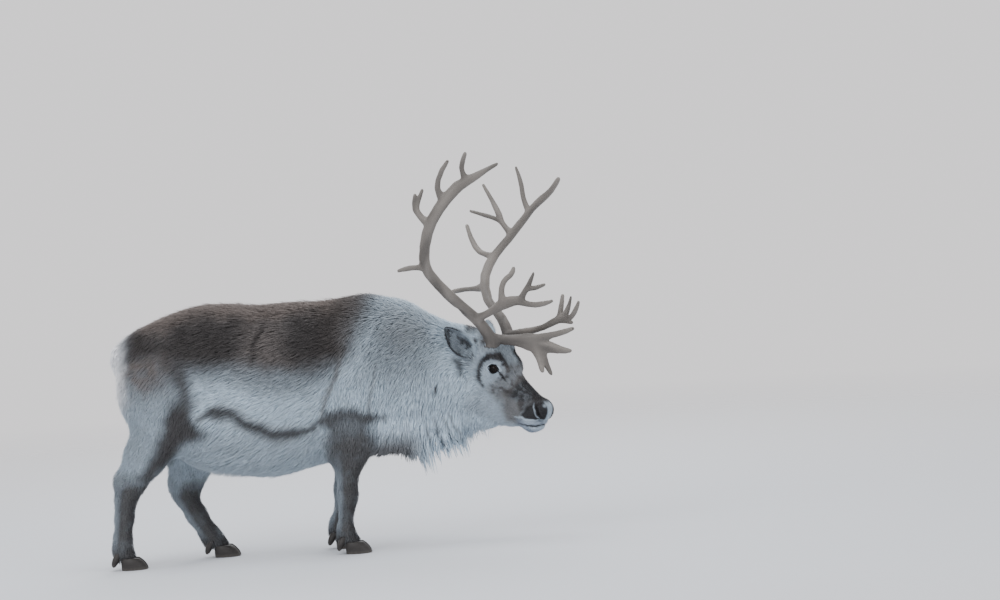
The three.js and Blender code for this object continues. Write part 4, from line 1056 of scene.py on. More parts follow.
# The mouth's crease: painted shade between the lips
MOUTH_SHADE_LINE = [(0.268, -0.100), (0.285, -0.088), (0.310, -0.076), (0.332, -0.060), (0.349, -0.046)]
CORONET_LINE = [(-0.010, 0.070), (0.020, 0.082), (0.046, 0.084)]
EYE_SPOT = row(0.089, 0.017)
# A dark stroke below the ear: painted shadow under the ear
EAR_SHADOW = [(-0.046, -0.046), (-0.026, -0.044), (-0.010, -0.052), (0.004, -0.066), (0.012, -0.080)]


def face_colour(p, colour):
    """The colour with the face's markings, painted shade and a painted highlight over it, out to a soft edge
    at the cheeks and the poll.
    """
    along, out, above = face_of(p)
    share = ease(-0.075, -0.045, along - 0.35 * np.maximum(0, -0.09 - above)) * ease(0.13, 0.11, np.abs(out))
    share = share * ease(-0.175, -0.145, above)
    warp = [grain(p, 0.012, seed) * 0.0035 for seed in (8, 9)]
    side = np.stack([along + warp[0], above + warp[1]], 1)
    flank = ease(0.006, 0.018, np.abs(out))
    brow = np.maximum(stroke(BROW_ARC, side, 0.0075, 0.008), stroke(BROW_ARC[3:], side, 0.011, 0.006))
    mottle = mottled(p, -0.1, 0.6, (0.011, 0.005), 12)
    smudge = mottled(p, 0.0, 0.7, (0.014, 0.006), 14, 0.6)
    spots = patch(CHEEK_SPOTS, side, 0.014)
    eye = length_of(side - EYE_SPOT)
    face = painted(
        np.tile(COAT_TONES["pale"], (len(p), 1)),
        ("white", ease(0.11, 0.05, along) * ease(-0.02, -0.09, above)),
        ("grey", 0.55 * ease(0.03, 0.05, above) * between(-0.03, 0.03, 0.12, 0.17, along)),
        ("buff", 0.85 * patch(CHEEK_SHADE, side, 0.016)),
        ("face_dark", 0.97 * brow * ease(0.034, 0.050, np.abs(out))),
        ("umber", 0.9 * patch(MUZZLE_JOIN, side, 0.010)),
        ("face_dark", 0.97 * patch(BRIDGE_PATCH, side, 0.009)),
        ("face_dark", 0.90 * ease(0.020, 0.030, above) * between(0.165, 0.19, 0.305, 0.322, along)),
        ("grey", 0.45 * mottle * patch(BRIDGE_SPOTS, side, 0.014) * flank),
        ("buff", 0.65 * spots),
        ("umber", 0.8 * smudge * spots),
        ("face_dark", 0.95 * mottle * patch(EAR_FRONT, side, 0.012) * flank),
        ("umber", 0.35 * smudge * ease(0.03, 0.05, above) * between(0.04, 0.07, 0.15, 0.17, along)),
        ("face_dark", 0.97 * patch(MUZZLE_DARK, side, 0.006) * ease(0.012, 0.022, np.abs(out))),
        ("muzzle", 0.5 * patch(UPPER_LIP, side, 0.006)),
        ("white", 0.8 * stroke(UPPER_LIP[:5], side, 0.0018, 0.004) * ease(0.235, 0.25, along)),
        # The nose's front paler: its pale grey fur, with a painted highlight on the tip
        ("muzzle", ease(0.338, 0.349, along) * ease(-0.050, -0.040, above)),
        ("muzzle", 0.9 * ease(-0.074, -0.090, above) * ease(0.252, 0.280, along)),
        ("pale", 0.75 * stroke(NOSTRIL_RIM, side, 0.0016, 0.0024) * flank),
        # Painted shade in the nostril's opening
        ("face_dark", stroke(NOSTRIL, side, 0.0045, 0.003) * flank),
        # Painted shade in the crease of the mouth
        ("face_dark", 0.9 * stroke(MOUTH_SHADE_LINE, side, 0.0028, 0.004)),
        ("pale", 0.5 * (1 - ease(0.027, 0.034, eye)) * flank),
        ("face_dark", 0.95 * stroke(TEAR_LINE, side, 0.0028, 0.004) * flank),
        ("face_dark", (1 - ease(0.0175, 0.0215, eye)) * flank),
        ("face_dark", 0.9 * stroke(CORONET_LINE, side, 0.005, 0.006) * flank),
        # Painted shadow under the ear
        ("face_dark", 0.75 * stroke(EAR_SHADOW, side, 0.007, 0.008) * flank),
        ("umber", 0.85 * ease(0.046, 0.062, above) * between(-0.075, -0.055, 0.0, 0.016, along)),
    )
    return lerp(colour, face, share[:, None])


def coat_colour(p):
    """The coat's colour at places on the skin; both sides are marked alike."""
    warp_x = grain(p, 0.05, 1) * 0.010 + grain(p, 0.015, 2) * 0.005
    warp_z = grain(p, 0.05, 4) * 0.012 + grain(p, 0.006, 10) * 0.007
    colour = body_colour(p, p[:, [0, 2]] + np.stack([warp_x, warp_z], 1))
    colour = face_colour(p, leg_colour(p, colour))
    fleck = 1 + 0.13 * grain(p, 0.006, 6) + 0.08 * grain(p, 0.018, 11) + 0.07 * grain(p, 0.045, 7)
    return colour * fleck[:, None]


# The lie of the coat: [x, y, z, lie x, lie y, lie z, hair length, coat depth, clumping, hanging]
BODY_HAIR = [
    [-0.34, 0.02, 0.82, -0.6, 0, -0.8, 0.045, 0.0101, 0.12, 0],
    [-0.25, 0.02, 0.88, -1, 0, -0.3, 0.045, 0.0115, 0.12, 0],
    [0.10, 0.02, 0.93, -1, 0, -0.1, 0.045, 0.013, 0.12, 0],
    [0.48, 0.02, 0.92, -1, 0, -0.05, 0.050, 0.013, 0.12, 0],
    [0.35, 0.19, 0.78, -1, 0, -0.4, 0.045, 0.0122, 0.12, 0],
    [0.10, 0.20, 0.75, -1, 0, -0.35, 0.045, 0.0122, 0.12, 0],
    [-0.12, 0.18, 0.76, -1, 0, -0.4, 0.042, 0.0115, 0.12, 0],
    [0.10, 0.22, 0.58, -1, 0, -0.35, 0.045, 0.0122, 0.15, 0],
    [0.30, 0.20, 0.58, -1, 0, -0.4, 0.045, 0.0122, 0.15, 0],
    [-0.05, 0.21, 0.58, -1, 0, -0.4, 0.045, 0.0122, 0.15, 0],
    [0.25, 0.17, 0.42, -0.9, 0, -0.5, 0.055, 0.013, 0.15, 0],
    [0.05, 0.17, 0.42, -0.9, 0, -0.5, 0.055, 0.013, 0.15, 0],
    [0.20, 0.00, 0.31, -1, 0, -0.45, 0.055, 0.0115, 0.35, 0.3],
    [0.015, 0.00, 0.318, -0.6, 0, -0.8, 0.062, 0.0115, 0.3, 0.8],
    [-0.28, 0.16, 0.74, -0.7, 0, -0.75, 0.038, 0.0101, 0.15, 0],
    [-0.25, 0.17, 0.62, -0.45, 0, -0.9, 0.034, 0.0086, 0.15, 0],
    [-0.25, 0.17, 0.50, -0.3, 0, -1, 0.030, 0.0072, 0.15, 0],
    [-0.38, 0.08, 0.68, -0.2, 0, -1, 0.045, 0.0108, 0.15, 0],
    [-0.34, 0.06, 0.52, -0.1, 0, -1, 0.036, 0.0072, 0.12, 0],
    [-0.13, 0.17, 0.50, -0.4, 0, -1, 0.034, 0.0079, 0.15, 0],
    [-0.08, 0.08, 0.38, -0.8, 0, -0.6, 0.040, 0.0086, 0.15, 0],
    [0.47, 0.18, 0.72, -0.65, 0, -0.8, 0.045, 0.0115, 0.12, 0],
    [0.46, 0.18, 0.58, -0.4, 0, -0.95, 0.040, 0.0101, 0.12, 0],
    [0.45, 0.17, 0.48, -0.2, 0, -1, 0.030, 0.0072, 0.15, 0],
    [0.45, 0.03, 0.34, -1, 0, -0.4, 0.045, 0.0101, 0.15, 0],
    [0.62, 0.02, 0.90, -0.95, 0, -0.1, 0.042, 0.013, 0.1, 0],
    [0.80, 0.02, 0.82, -0.95, 0, 0.25, 0.042, 0.013, 0.1, 0],
    [0.62, 0.15, 0.76, -0.8, 0, -0.55, 0.042, 0.013, 0.1, 0],
    [0.78, 0.12, 0.72, -0.75, 0, -0.6, 0.042, 0.013, 0.1, 0],
    [0.62, 0.17, 0.60, -0.5, 0, -0.9, 0.044, 0.013, 0.1, 0],
    [0.76, 0.16, 0.60, -0.4, 0, -1, 0.044, 0.013, 0.15, 0],
    [0.88, 0.13, 0.60, -0.4, 0, -1, 0.044, 0.013, 0.15, 0],
    [0.60, 0.15, 0.47, -0.3, 0, -1, 0.050, 0.0115, 0.25, 0.1],
    [0.74, 0.15, 0.50, -0.1, 0, -1, 0.055, 0.013, 0.3, 0.1],
    [0.86, 0.12, 0.48, -0.1, 0, -1, 0.055, 0.013, 0.3, 0.15],
    [0.60, 0.04, 0.37, -0.3, 0, -1, 0.045, 0.0086, 0.3, 0.7],
    [0.68, 0.05, 0.38, 0.1, 0, -1, 0.085, 0.0086, 0.3, 1],
    [0.76, 0.05, 0.385, 0.1, 0, -1, 0.160, 0.0086, 0.25, 1],
    [0.82, 0.05, 0.39, 0.15, 0, -1, 0.145, 0.0086, 0.25, 1],
    [0.89, 0.04, 0.42, 0.15, 0, -1, 0.115, 0.0086, 0.3, 1],
    [-0.37, 0.00, 0.79, -0.3, 0, -1, 0.046, 0.0120, 0.15, 0.35],
    [-0.38, 0.00, 0.72, -0.1, 0, -1, 0.050, 0.0100, 0.2, 0.6],
]
FACE_HAIR = [
    [0.335, 0.02, -0.010, -1, 0.2, 0, 0.006, 0.0020, 0, 0],
    [0.310, 0.04, -0.040, -1, 0.1, -0.2, 0.006, 0.0020, 0, 0],
    [0.250, 0.01, 0.020, -1, 0, 0, 0.009, 0.0025, 0, 0],
    [0.150, 0.01, 0.040, -1, 0, 0, 0.013, 0.0035, 0, 0],
    [0.060, 0.01, 0.075, -1, 0, 0, 0.020, 0.0060, 0.2, 0],
    [-0.050, 0.02, 0.050, -1, 0, -0.2, 0.034, 0.0100, 0.3, 0],
    [0.300, 0.03, -0.095, -1, 0, -0.4, 0.009, 0.0025, 0, 0],
    [0.235, 0.03, -0.115, -0.9, 0, -0.8, 0.018, 0.0050, 0.2, 0],
    [0.200, 0.05, -0.030, -1, 0, -0.25, 0.010, 0.0030, 0, 0],
    [0.180, 0.05, -0.090, -1, 0, -0.5, 0.016, 0.0050, 0.1, 0],
    [0.120, 0.07, -0.050, -1, 0, -0.45, 0.016, 0.0045, 0.1, 0],
    [0.090, 0.08, 0.018, -1, 0, 0, 0.007, 0.0025, 0, 0],
    [0.100, 0.06, 0.050, -1, 0, 0.1, 0.010, 0.0030, 0, 0],
    [0.030, 0.08, 0.010, -1, 0, -0.25, 0.022, 0.0060, 0.2, 0],
    [-0.030, 0.08, -0.030, -0.7, 0, -0.8, 0.034, 0.0120, 0.15, 0],
    [-0.030, 0.06, 0.040, -1, 0, 0.1, 0.030, 0.0080, 0.3, 0],
    [0.080, 0.08, -0.110, -0.3, 0, -0.9, 0.036, 0.0130, 0.2, 0],
    [0.020, 0.10, -0.110, -0.1, 0, -0.9, 0.042, 0.0150, 0.2, 0],
    [0.150, 0.02, -0.160, 0.3, 0, -0.9, 0.055, 0.0080, 0.5, 0.8],
    [0.080, 0.03, -0.190, 0.4, 0, -0.9, 0.075, 0.0100, 0.6, 1],
]
LEG_HAIR = {"long": 0.026, "short": 0.013, "fringe": 0.040, "deep": 0.008, "thin": 0.0035}


def guide_hairs():
    """Every guide hair, on both sides of the body, the face and down each leg."""
    rows = []
    for side in (1, -1):
        for x, y, z, i, j, k, *nature in BODY_HAIR:
            rows.append([x, side * y, z, *unit(row(i, side * j, k)), *nature])
        for a, o, b, i, j, k, *nature in FACE_HAIR:
            rows.append([*on_face(a, side * o, b), *unit(face_way(i, side * j, k)), *nature])
        foot, top = PEDICLE["foot"], PEDICLE["top"]
        for turn in np.radians([0, 90, 180, 270]):
            around = PEDICLE["radius"][1] * row(math.cos(turn), math.sin(turn))
            at = from_head(top[0] + around[0], side * (top[1] + around[1]), 0.4 * foot[2] + 0.6 * top[2])
            rows.append([*at, *unit(turned(row(0.2, side * 0.16, 1), HEAD_YAW)), 0.026, 0.006, 0.1, 0])
    for leg in LEGS.values():
        joints = leg["joints"][2:]
        for n, (here, after) in enumerate(zip(joints[:-1], joints[1:])):
            share = n / (len(joints) - 2)
            long = lerp(LEG_HAIR["long"], LEG_HAIR["short"], share)
            nature = [long, lerp(LEG_HAIR["deep"], LEG_HAIR["thin"], share), 0, 0]
            if n == len(joints) - 2:
                nature = [LEG_HAIR["fringe"], LEG_HAIR["deep"], 0.2, 0.7]
            for wide in (-1, 1):
                at = here[:3] + row(0, wide * here[4], 0)
                rows.append([*at, *unit(after[:3] - here[:3] + row(-0.006, 0, 0)), *nature])
    return np.array(rows)


class Hide:
    """The skin under the coat: its mesh, the way in which hair lies on it, and the hair's nature."""

    def __init__(self, corners, triangles):
        self.corners, self.triangles = corners, triangles
        self.normals = normals_of(corners, triangles)
        self.tree = BVHTree.FromPolygons(corners.tolist(), triangles.tolist())
        self.fall = None

    def groom(self):
        """The nature of the hair at each corner, drawn from the guide hairs near it."""
        guides = guide_hairs()
        total, weight = 0, 0
        for guide in guides:
            share = 1 / (np.sum((self.corners - guide[:3]) ** 2, axis=1) + 0.02 ** 2) ** 2
            total, weight = total + share[:, None] * guide[3:], weight + share
        nature = total / weight[:, None]
        lie = nature[:, :3]
        self.lie = unit(lie - self.normals * dot(lie, self.normals)[:, None])
        self.long, self.deep, self.clump, self.hang = nature[:, 3:].T

    def nearest(self, p):
        """The nearest place on the skin, its outward way and its triangle."""
        found = [self.tree.find_nearest(at) for at in p.tolist()]
        triangle = np.array([f[2] for f in found])
        normal = unit(self.normals[self.triangles[triangle]].mean(axis=1))
        return np.array([f[0] for f in found]), normal, triangle


# Eyes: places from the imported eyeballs
EYE_NODES = {1: "eye_left", -1: "eye_right"}
EYE_CENTRE = {
    side: [value[0] for value in face_of(np.array(middle_of(node))[None] - ORIGIN)]
    for side, node in EYE_NODES.items()
}
EYE_RADIUS = 0.020
EYE_OPEN = {"wide": 0.0180, "tall": 0.0128, "slant": 0.42}


def almond_share(along, above, side):
    """How far out from the eye's middle a place of the face lies: 1 on the edge of the lids."""
    middle_along, _, middle_above = EYE_CENTRE[side]
    c, s = math.cos(EYE_OPEN["slant"]), math.sin(EYE_OPEN["slant"])
    a = ((along - middle_along) * c + (above - middle_above) * s) / EYE_OPEN["wide"]
    b = (-(along - middle_along) * s + (above - middle_above) * c) / EYE_OPEN["tall"]
    return np.sqrt(a ** 2 + (b / (1 - 0.3 * np.minimum(np.abs(a), 1) ** 3)) ** 2)


# Forms that are pressed into the face's skin or stand on it: [along, above] lines
NOSTRIL_PATH = [(0.288, 0.006), (0.300, -0.003), (0.314, -0.012), (0.326, -0.022)]
MOUTH_PATH = [(0.268, -0.100), (0.288, -0.089), (0.310, -0.077), (0.332, -0.062), (0.352, -0.048)]
# Each ridge or hollow: its line, how far it stands out and its half width
FLANK_RIDGES = {
    "tear pit": ([(0.112, 0.018), (0.130, 0.008), (0.150, -0.002)], -0.0030, 0.004),
    "cheekbone": ([(0.075, -0.030), (0.130, -0.028), (0.185, -0.020)], 0.0028, 0.012),
    "cheek hollow": ([(0.150, -0.060), (0.235, -0.050)], -0.0035, 0.020),
    "jaw": ([(0.060, -0.100), (0.200, -0.100)], 0.0020, 0.014),
}
LIP_RIDGES = {
    "mouth": (MOUTH_PATH, -0.0050, 0.0022),
    "upper lip": ([(a - 0.005, b + 0.009) for a, b in MOUTH_PATH], 0.0022, 0.006),
    "lower lip": ([(a + 0.004, b - 0.011) for a, b in MOUTH_PATH], 0.0010, 0.006),
}


def ridges(rows, side):
    """How far a table of ridges and hollows stands out at places (along, above)."""
    total = 0
    for line, high, half in rows.values():
        far, _ = along_line(line, side)
        total = total + high * np.exp(-(far / half) ** 2)
    return total


def face_relief(p):
    """How far the face's skin stands out from the smooth head."""
    along, out, above = face_of(p)
    side = np.stack([along, above], 1)
    flank = ease(0.010, 0.020, np.abs(out))
    relief = np.zeros(len(p))
    for way in (1, -1):
        mine = (out * way > 0) & (np.abs(along - 0.09) < 0.09) & (np.abs(above) < 0.12)
        share = np.where(mine, almond_share(along, above, way), 9)
        relief -= 0.017 * (1 - ease(0.86, 1.12, share))
        relief -= 0.0022 * np.exp(-((share - 1.95) / 0.22) ** 2)
        relief += 0.0030 * np.exp(-((share - 2.5) / 0.35) ** 2) * ease(-0.01, 0.03, above)
    relief += ridges(FLANK_RIDGES, side) * flank
    nostril, share = along_line(NOSTRIL_PATH, side)
    wide = 0.0058 * np.sin(np.pi * np.clip(0.12 + 0.80 * share, 0, 1))
    relief -= 0.0110 * (1 - ease(0.25, 1.1, nostril / wide)) * flank
    relief += 0.0026 * np.exp(-((nostril - 0.0095) / 0.0034) ** 2) * flank
    relief += ridges(LIP_RIDGES, side)
    return relief


def near_face(p, along_from, wide, below):
    """Whether places lie in a box about the face."""
    along, out, above = face_of(p)
    return (along > along_from) & (along < 0.37) & (np.abs(out) < wide) & (above > below) & (above < 0.12)


def eye_or_muzzle(p):
    """Whether places lie about an eye or on the muzzle."""
    along, out, above = face_of(p)
    eye = (np.abs(along - 0.09) < 0.05) & (np.abs(above - 0.017) < 0.045) & (np.abs(out) > 0.05)
    return near_face(p, 0.235, 0.1, -0.13) | (near_face(p, -0.02, 0.13, -0.1) & eye)


def flesh_mesh():
    """The coat's outline, finer on the head and finest about the eyes and the muzzle."""
    corners, faces = surface_of(flesh, SKIN_LOW, SKIN_HIGH, SKIN_CELL)
    keep = corners[:, 2] > CORONET - 0.012
    faces = faces[keep[faces].all(axis=1)]
    used, index = np.unique(faces, return_inverse=True)
    mesh = mesh_of("skin", corners[used], index.reshape(faces.shape))
    capped(mesh)
    refined(mesh, lambda p: near_face(p, -0.06, 0.14, -0.16))
    refined(mesh, eye_or_muzzle)
    return mesh


FLESH_NODES = ["torso", "neck", "head", "tail"] + [
    f"leg_{leg}_{length}" for leg in LEGS for length in ("upper", "middle", "cannon", "foot")
]


def build_skin():
    """The skin under the coat and its mesh, the face's forms pressed into it."""
    mesh = flesh_mesh()
    corners, triangles = arrays_of(mesh)
    corners = settle(flesh, corners, 3, SKIN_CELL * 0.6)
    outline = Hide(corners, triangles)
    outline.groom()
    colour = coat_colour(corners)
    inner = corners + outline.normals * (face_relief(corners) - outline.deep)[:, None]
    hide = Hide(inner, triangles)
    for name in ("long", "deep", "clump", "hang"):
        setattr(hide, name, getattr(outline, name))
    hide.lie = unit(outline.lie - hide.normals * dot(outline.lie, hide.normals)[:, None])
    hide.colour = colour
    mesh.vertices.foreach_set("co", inner.astype(np.float32).ravel())
    mark(mesh, "coat", colour)
    return hide, mesh


def mark(mesh, name, values):
    """Stores a value or a colour at each corner for the finishes."""
    values = np.asarray(values, np.float32)
    if values.ndim == 1:
        mesh.attributes.new(name, "FLOAT", "POINT").data.foreach_set("value", values)
        return
    colours = np.ones((len(values), 4), np.float32)
    colours[:, :3] = np.clip(values, 0, 1)
    mesh.color_attributes.new(name, "FLOAT_COLOR", "POINT").data.foreach_set("color", colours.ravel())


# The coat: tufts of triangular section, their roots in the skin

def unwrapped(hide, chosen):
    """An unwrap of some of the skin's triangles: three UV places for each."""
    used, index = np.unique(hide.triangles[chosen], return_inverse=True)
    sheet = bpy.data.objects.new("unwrap", mesh_of("unwrap", hide.corners[used], index.reshape(-1, 3)))
    bpy.context.scene.collection.objects.link(sheet)
    bpy.context.view_layer.objects.active = sheet
    sheet.select_set(True)
    sheet.data.uv_layers.new(name="UVMap")
    bpy.ops.object.mode_set(mode="EDIT")
    bpy.ops.mesh.select_all(action="SELECT")
    bpy.ops.uv.smart_project(angle_limit=math.radians(66), island_margin=0.004)
    bpy.ops.object.mode_set(mode="OBJECT")
    flat = np.empty(len(sheet.data.loops) * 2, np.float32)
    sheet.data.uv_layers[0].data.foreach_get("uv", flat)
    bpy.data.objects.remove(sheet)
    return flat.reshape(-1, 3, 2)


def sow(hide, chosen, spacing, random):
    """Root places over some of the skin's triangles: triangle, and shares of its three corners."""
    a, b, c = (hide.corners[hide.triangles[chosen][:, k]] for k in range(3))
    area = length_of(np.cross(b - a, c - a)) / 2
    expected = area * DENSITY / spacing[hide.triangles[chosen]].mean(axis=1) ** 2
    count = np.floor(expected + random.random(len(area))).astype(int)
    triangle = np.repeat(np.arange(len(chosen)), count)
    u, v = random.random((2, len(triangle)))
    over = u + v > 1
    u[over], v[over] = 1 - u[over], 1 - v[over]
    return triangle, np.stack([1 - u - v, u, v], 1)


def combed(hide, root, normal, lie, long, deep, hang, fall, steps, random):
    """The line of each tuft from its root to its tip, with the outward way along it."""
    size = long / steps
    stray = random.random(len(root))
    rise = deep * random.uniform(0.82, 1.18, len(root)) + long * (0.05 * stray + 0.20 * stray ** 10)
    way = unit(lie + normal * 0.25)
    places, ups = [root - normal * ROOT_DEPTH], [normal]
    here = root
    for step in range(1, steps + 1):
        share = step / steps
        ahead = here + way * size[:, None]
        skin, up, triangle = hide.nearest(ahead)
        height = dot(ahead - skin, up)
        lying = skin + up * (rise * (1 - (1 - share) ** 2))[:, None]
        free = ahead + up * np.maximum(0.003 + 0.3 * deep - height, 0)[:, None]
        here = lerp(lying, free, hang[:, None])
        turn = hide.lie[hide.triangles[triangle]].mean(axis=1)
        hung = unit(lerp(way, fall, 0.5))
        way = unit(lerp(unit(way + turn * 0.8), hung, hang[:, None]))
        places.append(here)
        ups.append(unit(lerp(up, normal, 0.5 * hang[:, None])))
    return np.stack(places, 1), np.stack(ups, 1)


def gathered(line, clump, random, share=0.03):
    """Draws the tufts' tips together into locks."""
    count = len(line)
    chiefs = random.choice(count, max(int(count * share), 1), replace=False)
    tree = KDTree(len(chiefs))
    for n, chief in enumerate(chiefs):
        tree.insert(line[chief, 0], n)
    tree.balance()
    mine = chiefs[[tree.find(root)[1] for root in line[:, 0].tolist()]]
    steps = line.shape[1] - 1
    for step in range(1, steps + 1):
        pull = clump * (step / steps) ** 1.5
        line[:, step] += (line[mine, step] - line[:, step]) * pull[:, None]
    return line


TUFT_WIDTH = [0.75, 1.0, 0.85, 0.6, 0.4]


def tufts(name, line, up, wide, colour, uv, random):
    """A mesh of tapered tufts, each of triangular section and closed at its root."""
    count, points = line.shape[:2]
    rings = points - 1
    ahead = np.gradient(line, axis=1)
    across = unit(np.cross(ahead, up))
    over = unit(np.cross(across, ahead))
    girth = np.interp(np.linspace(0, 1, rings), np.linspace(0, 1, len(TUFT_WIDTH)), TUFT_WIDTH)
    half = (wide[:, None] * girth / 2)[..., None]
    middle = line[:, :rings]
    left = middle - across[:, :rings] * half - over[:, :rings] * half * 0.25
    right = middle + across[:, :rings] * half - over[:, :rings] * half * 0.25
    ridge = middle + over[:, :rings] * half * 0.5
    body = np.stack([left, ridge, right], 2).reshape(count, rings * 3, 3)
    corners = np.concatenate([body, line[:, -1:]], axis=1)
    size = rings * 3 + 1
    faces = [(0, 1, 2)]
    for ring in range(rings - 1):
        for k in range(3):
            a, b = ring * 3 + k, ring * 3 + (k + 1) % 3
            faces += [(a, a + 3, b), (b, a + 3, b + 3)]
    last = (rings - 1) * 3
    faces += [(last + k, size - 1, last + (k + 1) % 3) for k in range(3)]
    faces = np.array(faces)[:, ::-1]
    every = (np.arange(count) * size)[:, None, None] + faces
    mesh = mesh_of(name, corners.reshape(-1, 3), every.reshape(-1, 3))
    along = np.append(np.repeat(np.arange(rings), 3), rings) / rings
    beside = np.append(np.tile([0, 0.5, 1], rings), 0.5)
    tints = np.concatenate([np.repeat(colour[:, :rings], 3, axis=1), colour[:, -1:]], axis=1)
    mark(mesh, "coat", tints.reshape(-1, 3))
    mark(mesh, "along", np.tile(along, count))
    chance = random.random(count)
    mark(mesh, "chance", np.repeat(chance, size))
    corner = np.tile(faces.ravel(), count)
    tuft = np.repeat(np.arange(count), faces.size)
    strand = np.stack([beside[corner] + chance[tuft] * 40, along[corner] * 2 + chance[tuft] * 9], 1)
    spot = uv[tuft] + (np.stack([beside[corner], along[corner]], 1) - 0.5) * PATCH
    for layer, values in (("OFBake", np.clip(spot, 0, 1)), ("Strand", strand)):
        mesh.uv_layers.new(name=layer).data.foreach_set("uv", values.astype(np.float32).ravel())
    return mesh


def grow(name, hide, chosen, finish, slot, steps, seed, swerve=0.19, wider=1.0):
    """A piece of coat over some of the skin's triangles."""
    random = np.random.default_rng(seed)
    spacing = HAIR_SPACING * np.sqrt(hide.long)
    triangle, share = sow(hide, chosen, spacing, random)
    flat = unwrapped(hide, chosen)
    corners = hide.triangles[chosen][triangle]

    def there(values):
        weights = share if values.ndim == 1 else share[:, :, None]
        return (values[corners] * weights).sum(axis=1)

    root, normal = there(hide.corners), unit(there(hide.normals))
    lie = there(hide.lie)
    sway = grain(root, 0.045, seed) * 0.9 + random.normal(0, 1, len(root)) * 0.55
    lie = unit(lie + np.cross(normal, lie) * (swerve * sway)[:, None])
    hang = np.clip(there(hide.hang), 0, 1)
    long = there(hide.long) * random.uniform(0.75 - 0.35 * hang, 1.2)
    fall = MANE_HANG if hide.fall is None else unit(there(hide.fall))
    line, up = combed(hide, root, normal, lie, long, there(hide.deep), hang, fall, steps, random)
    line = gathered(line, there(hide.clump), random)
    colour = np.repeat(there(hide.colour)[:, None], steps + 1, axis=1)
    if hide.fall is None:
        over = lerp(line[:, :1], line, 0.7)
        colour = coat_colour(over.reshape(-1, 3)).reshape(over.shape)
    wide = there(spacing) * wider / math.sqrt(DENSITY) * random.uniform(0.8, 1.25, len(root))
    uv = (flat[triangle] * share[:, :, None]).sum(axis=1)
    place(name, tufts(name, line, up, wide, colour, uv, random), finish, slot)


# The trunk's coat by stretches of the back: the rear and front edge of each
TRUNK_COATS = {
    "coat_rump": (-1.0, -0.17),
    "coat_loin": (-0.17, 0.06),
    "coat_ribs": (0.06, 0.31),
    "coat_shoulder": (0.31, 0.56),
}


def regions(hide):
    """The skin's triangles by the part of the body that they lie on."""
    middle = hide.corners[hide.triangles].mean(axis=1)
    x, y, z = middle.T
    along, out, above = face_of(middle)
    nape = (along > -0.055 - 0.35 * np.minimum(0, above + 0.05)) & (x > 0.86)
    legs, _ = leg_shares(middle)
    leg = (legs > 0.5) & (z < 0.40)
    eye = np.minimum(*(np.where(out * way > 0, almond_share(along, above, way), 9) for way in (1, -1)))
    open_eye = nape & (eye < 1.38)
    share = {}
    share["coat_muzzle"] = nape & (along > 0.215) & (above > -0.14)
    share["coat_face"] = nape & ~share["coat_muzzle"] & ~open_eye
    hind = x < 0.1
    share["coat_hind_legs"] = leg & hind
    share["coat_fore_legs"] = leg & ~hind
    rest = ~(nape | leg)
    share["tail_hair"] = rest & (x < -0.340) & (np.abs(y) < 0.030) & (z > 0.68) & (z < 0.81)
    rest = rest & ~share["tail_hair"]
    share["mane"] = rest & (x > 0.56) & (z < 0.50)
    share["coat_neck"] = rest & (x > 0.56) & ~share["mane"]
    for name, (rear, front) in TRUNK_COATS.items():
        share[name] = rest & (x > rear) & (x <= front)
    return {name: np.flatnonzero(mask) for name, mask in share.items()}


hide, skin_mesh = build_skin()
skin = skin_finish()
place("skin", skin_mesh, skin, "coat", *FLESH_NODES)

BODY_COAT = hair_finish("winter_coat", 3.0, 0.62)
MANE_COAT = hair_finish("mane_hair", 4.0, 0.55)
LEG_COAT = hair_finish("leg_hair", 3.0, 0.6)
FACE_COAT = hair_finish("face_hair", 3.0, 0.62)
# Each piece of coat: its finish, its slot and how many steps a tuft has
PIECES = {
    **{name: (BODY_COAT, "coat", 2) for name in TRUNK_COATS},
    "coat_neck": (MANE_COAT, "mane", 2),
    "mane": (MANE_COAT, "mane", 5),
    "tail_hair": (MANE_COAT, "coat", 4),
    "coat_hind_legs": (LEG_COAT, "leg_coat", 2),
    "coat_fore_legs": (LEG_COAT, "leg_coat", 2),
    "coat_face": (FACE_COAT, "face_coat", 2),
    "coat_muzzle": (FACE_COAT, "face_coat", 2),
}
parts = regions(hide)
for seed, (name, (finish, slot, steps)) in enumerate(PIECES.items()):
    grow(name, hide, parts[name], finish, slot, steps, 100 + seed, wider=1.35 if name == "tail_hair" else 1.0)


# Ears: deep cups on a bent axis, with short fur outside and long pale hair within

EAR = {
    "root": row(0.034, 0.052, 0.664), "middle": row(0.0, 0.108, 0.742), "tip": row(-0.028, 0.152, 0.796),
    "open": row(0.6, 0.75, -0.25), "wide": 0.039, "deep": 0.019, "wall": 0.0026, "closed": 2.9, "wrap": 1.95,
}
EAR_ROWS, EAR_COLUMNS = 46, 41


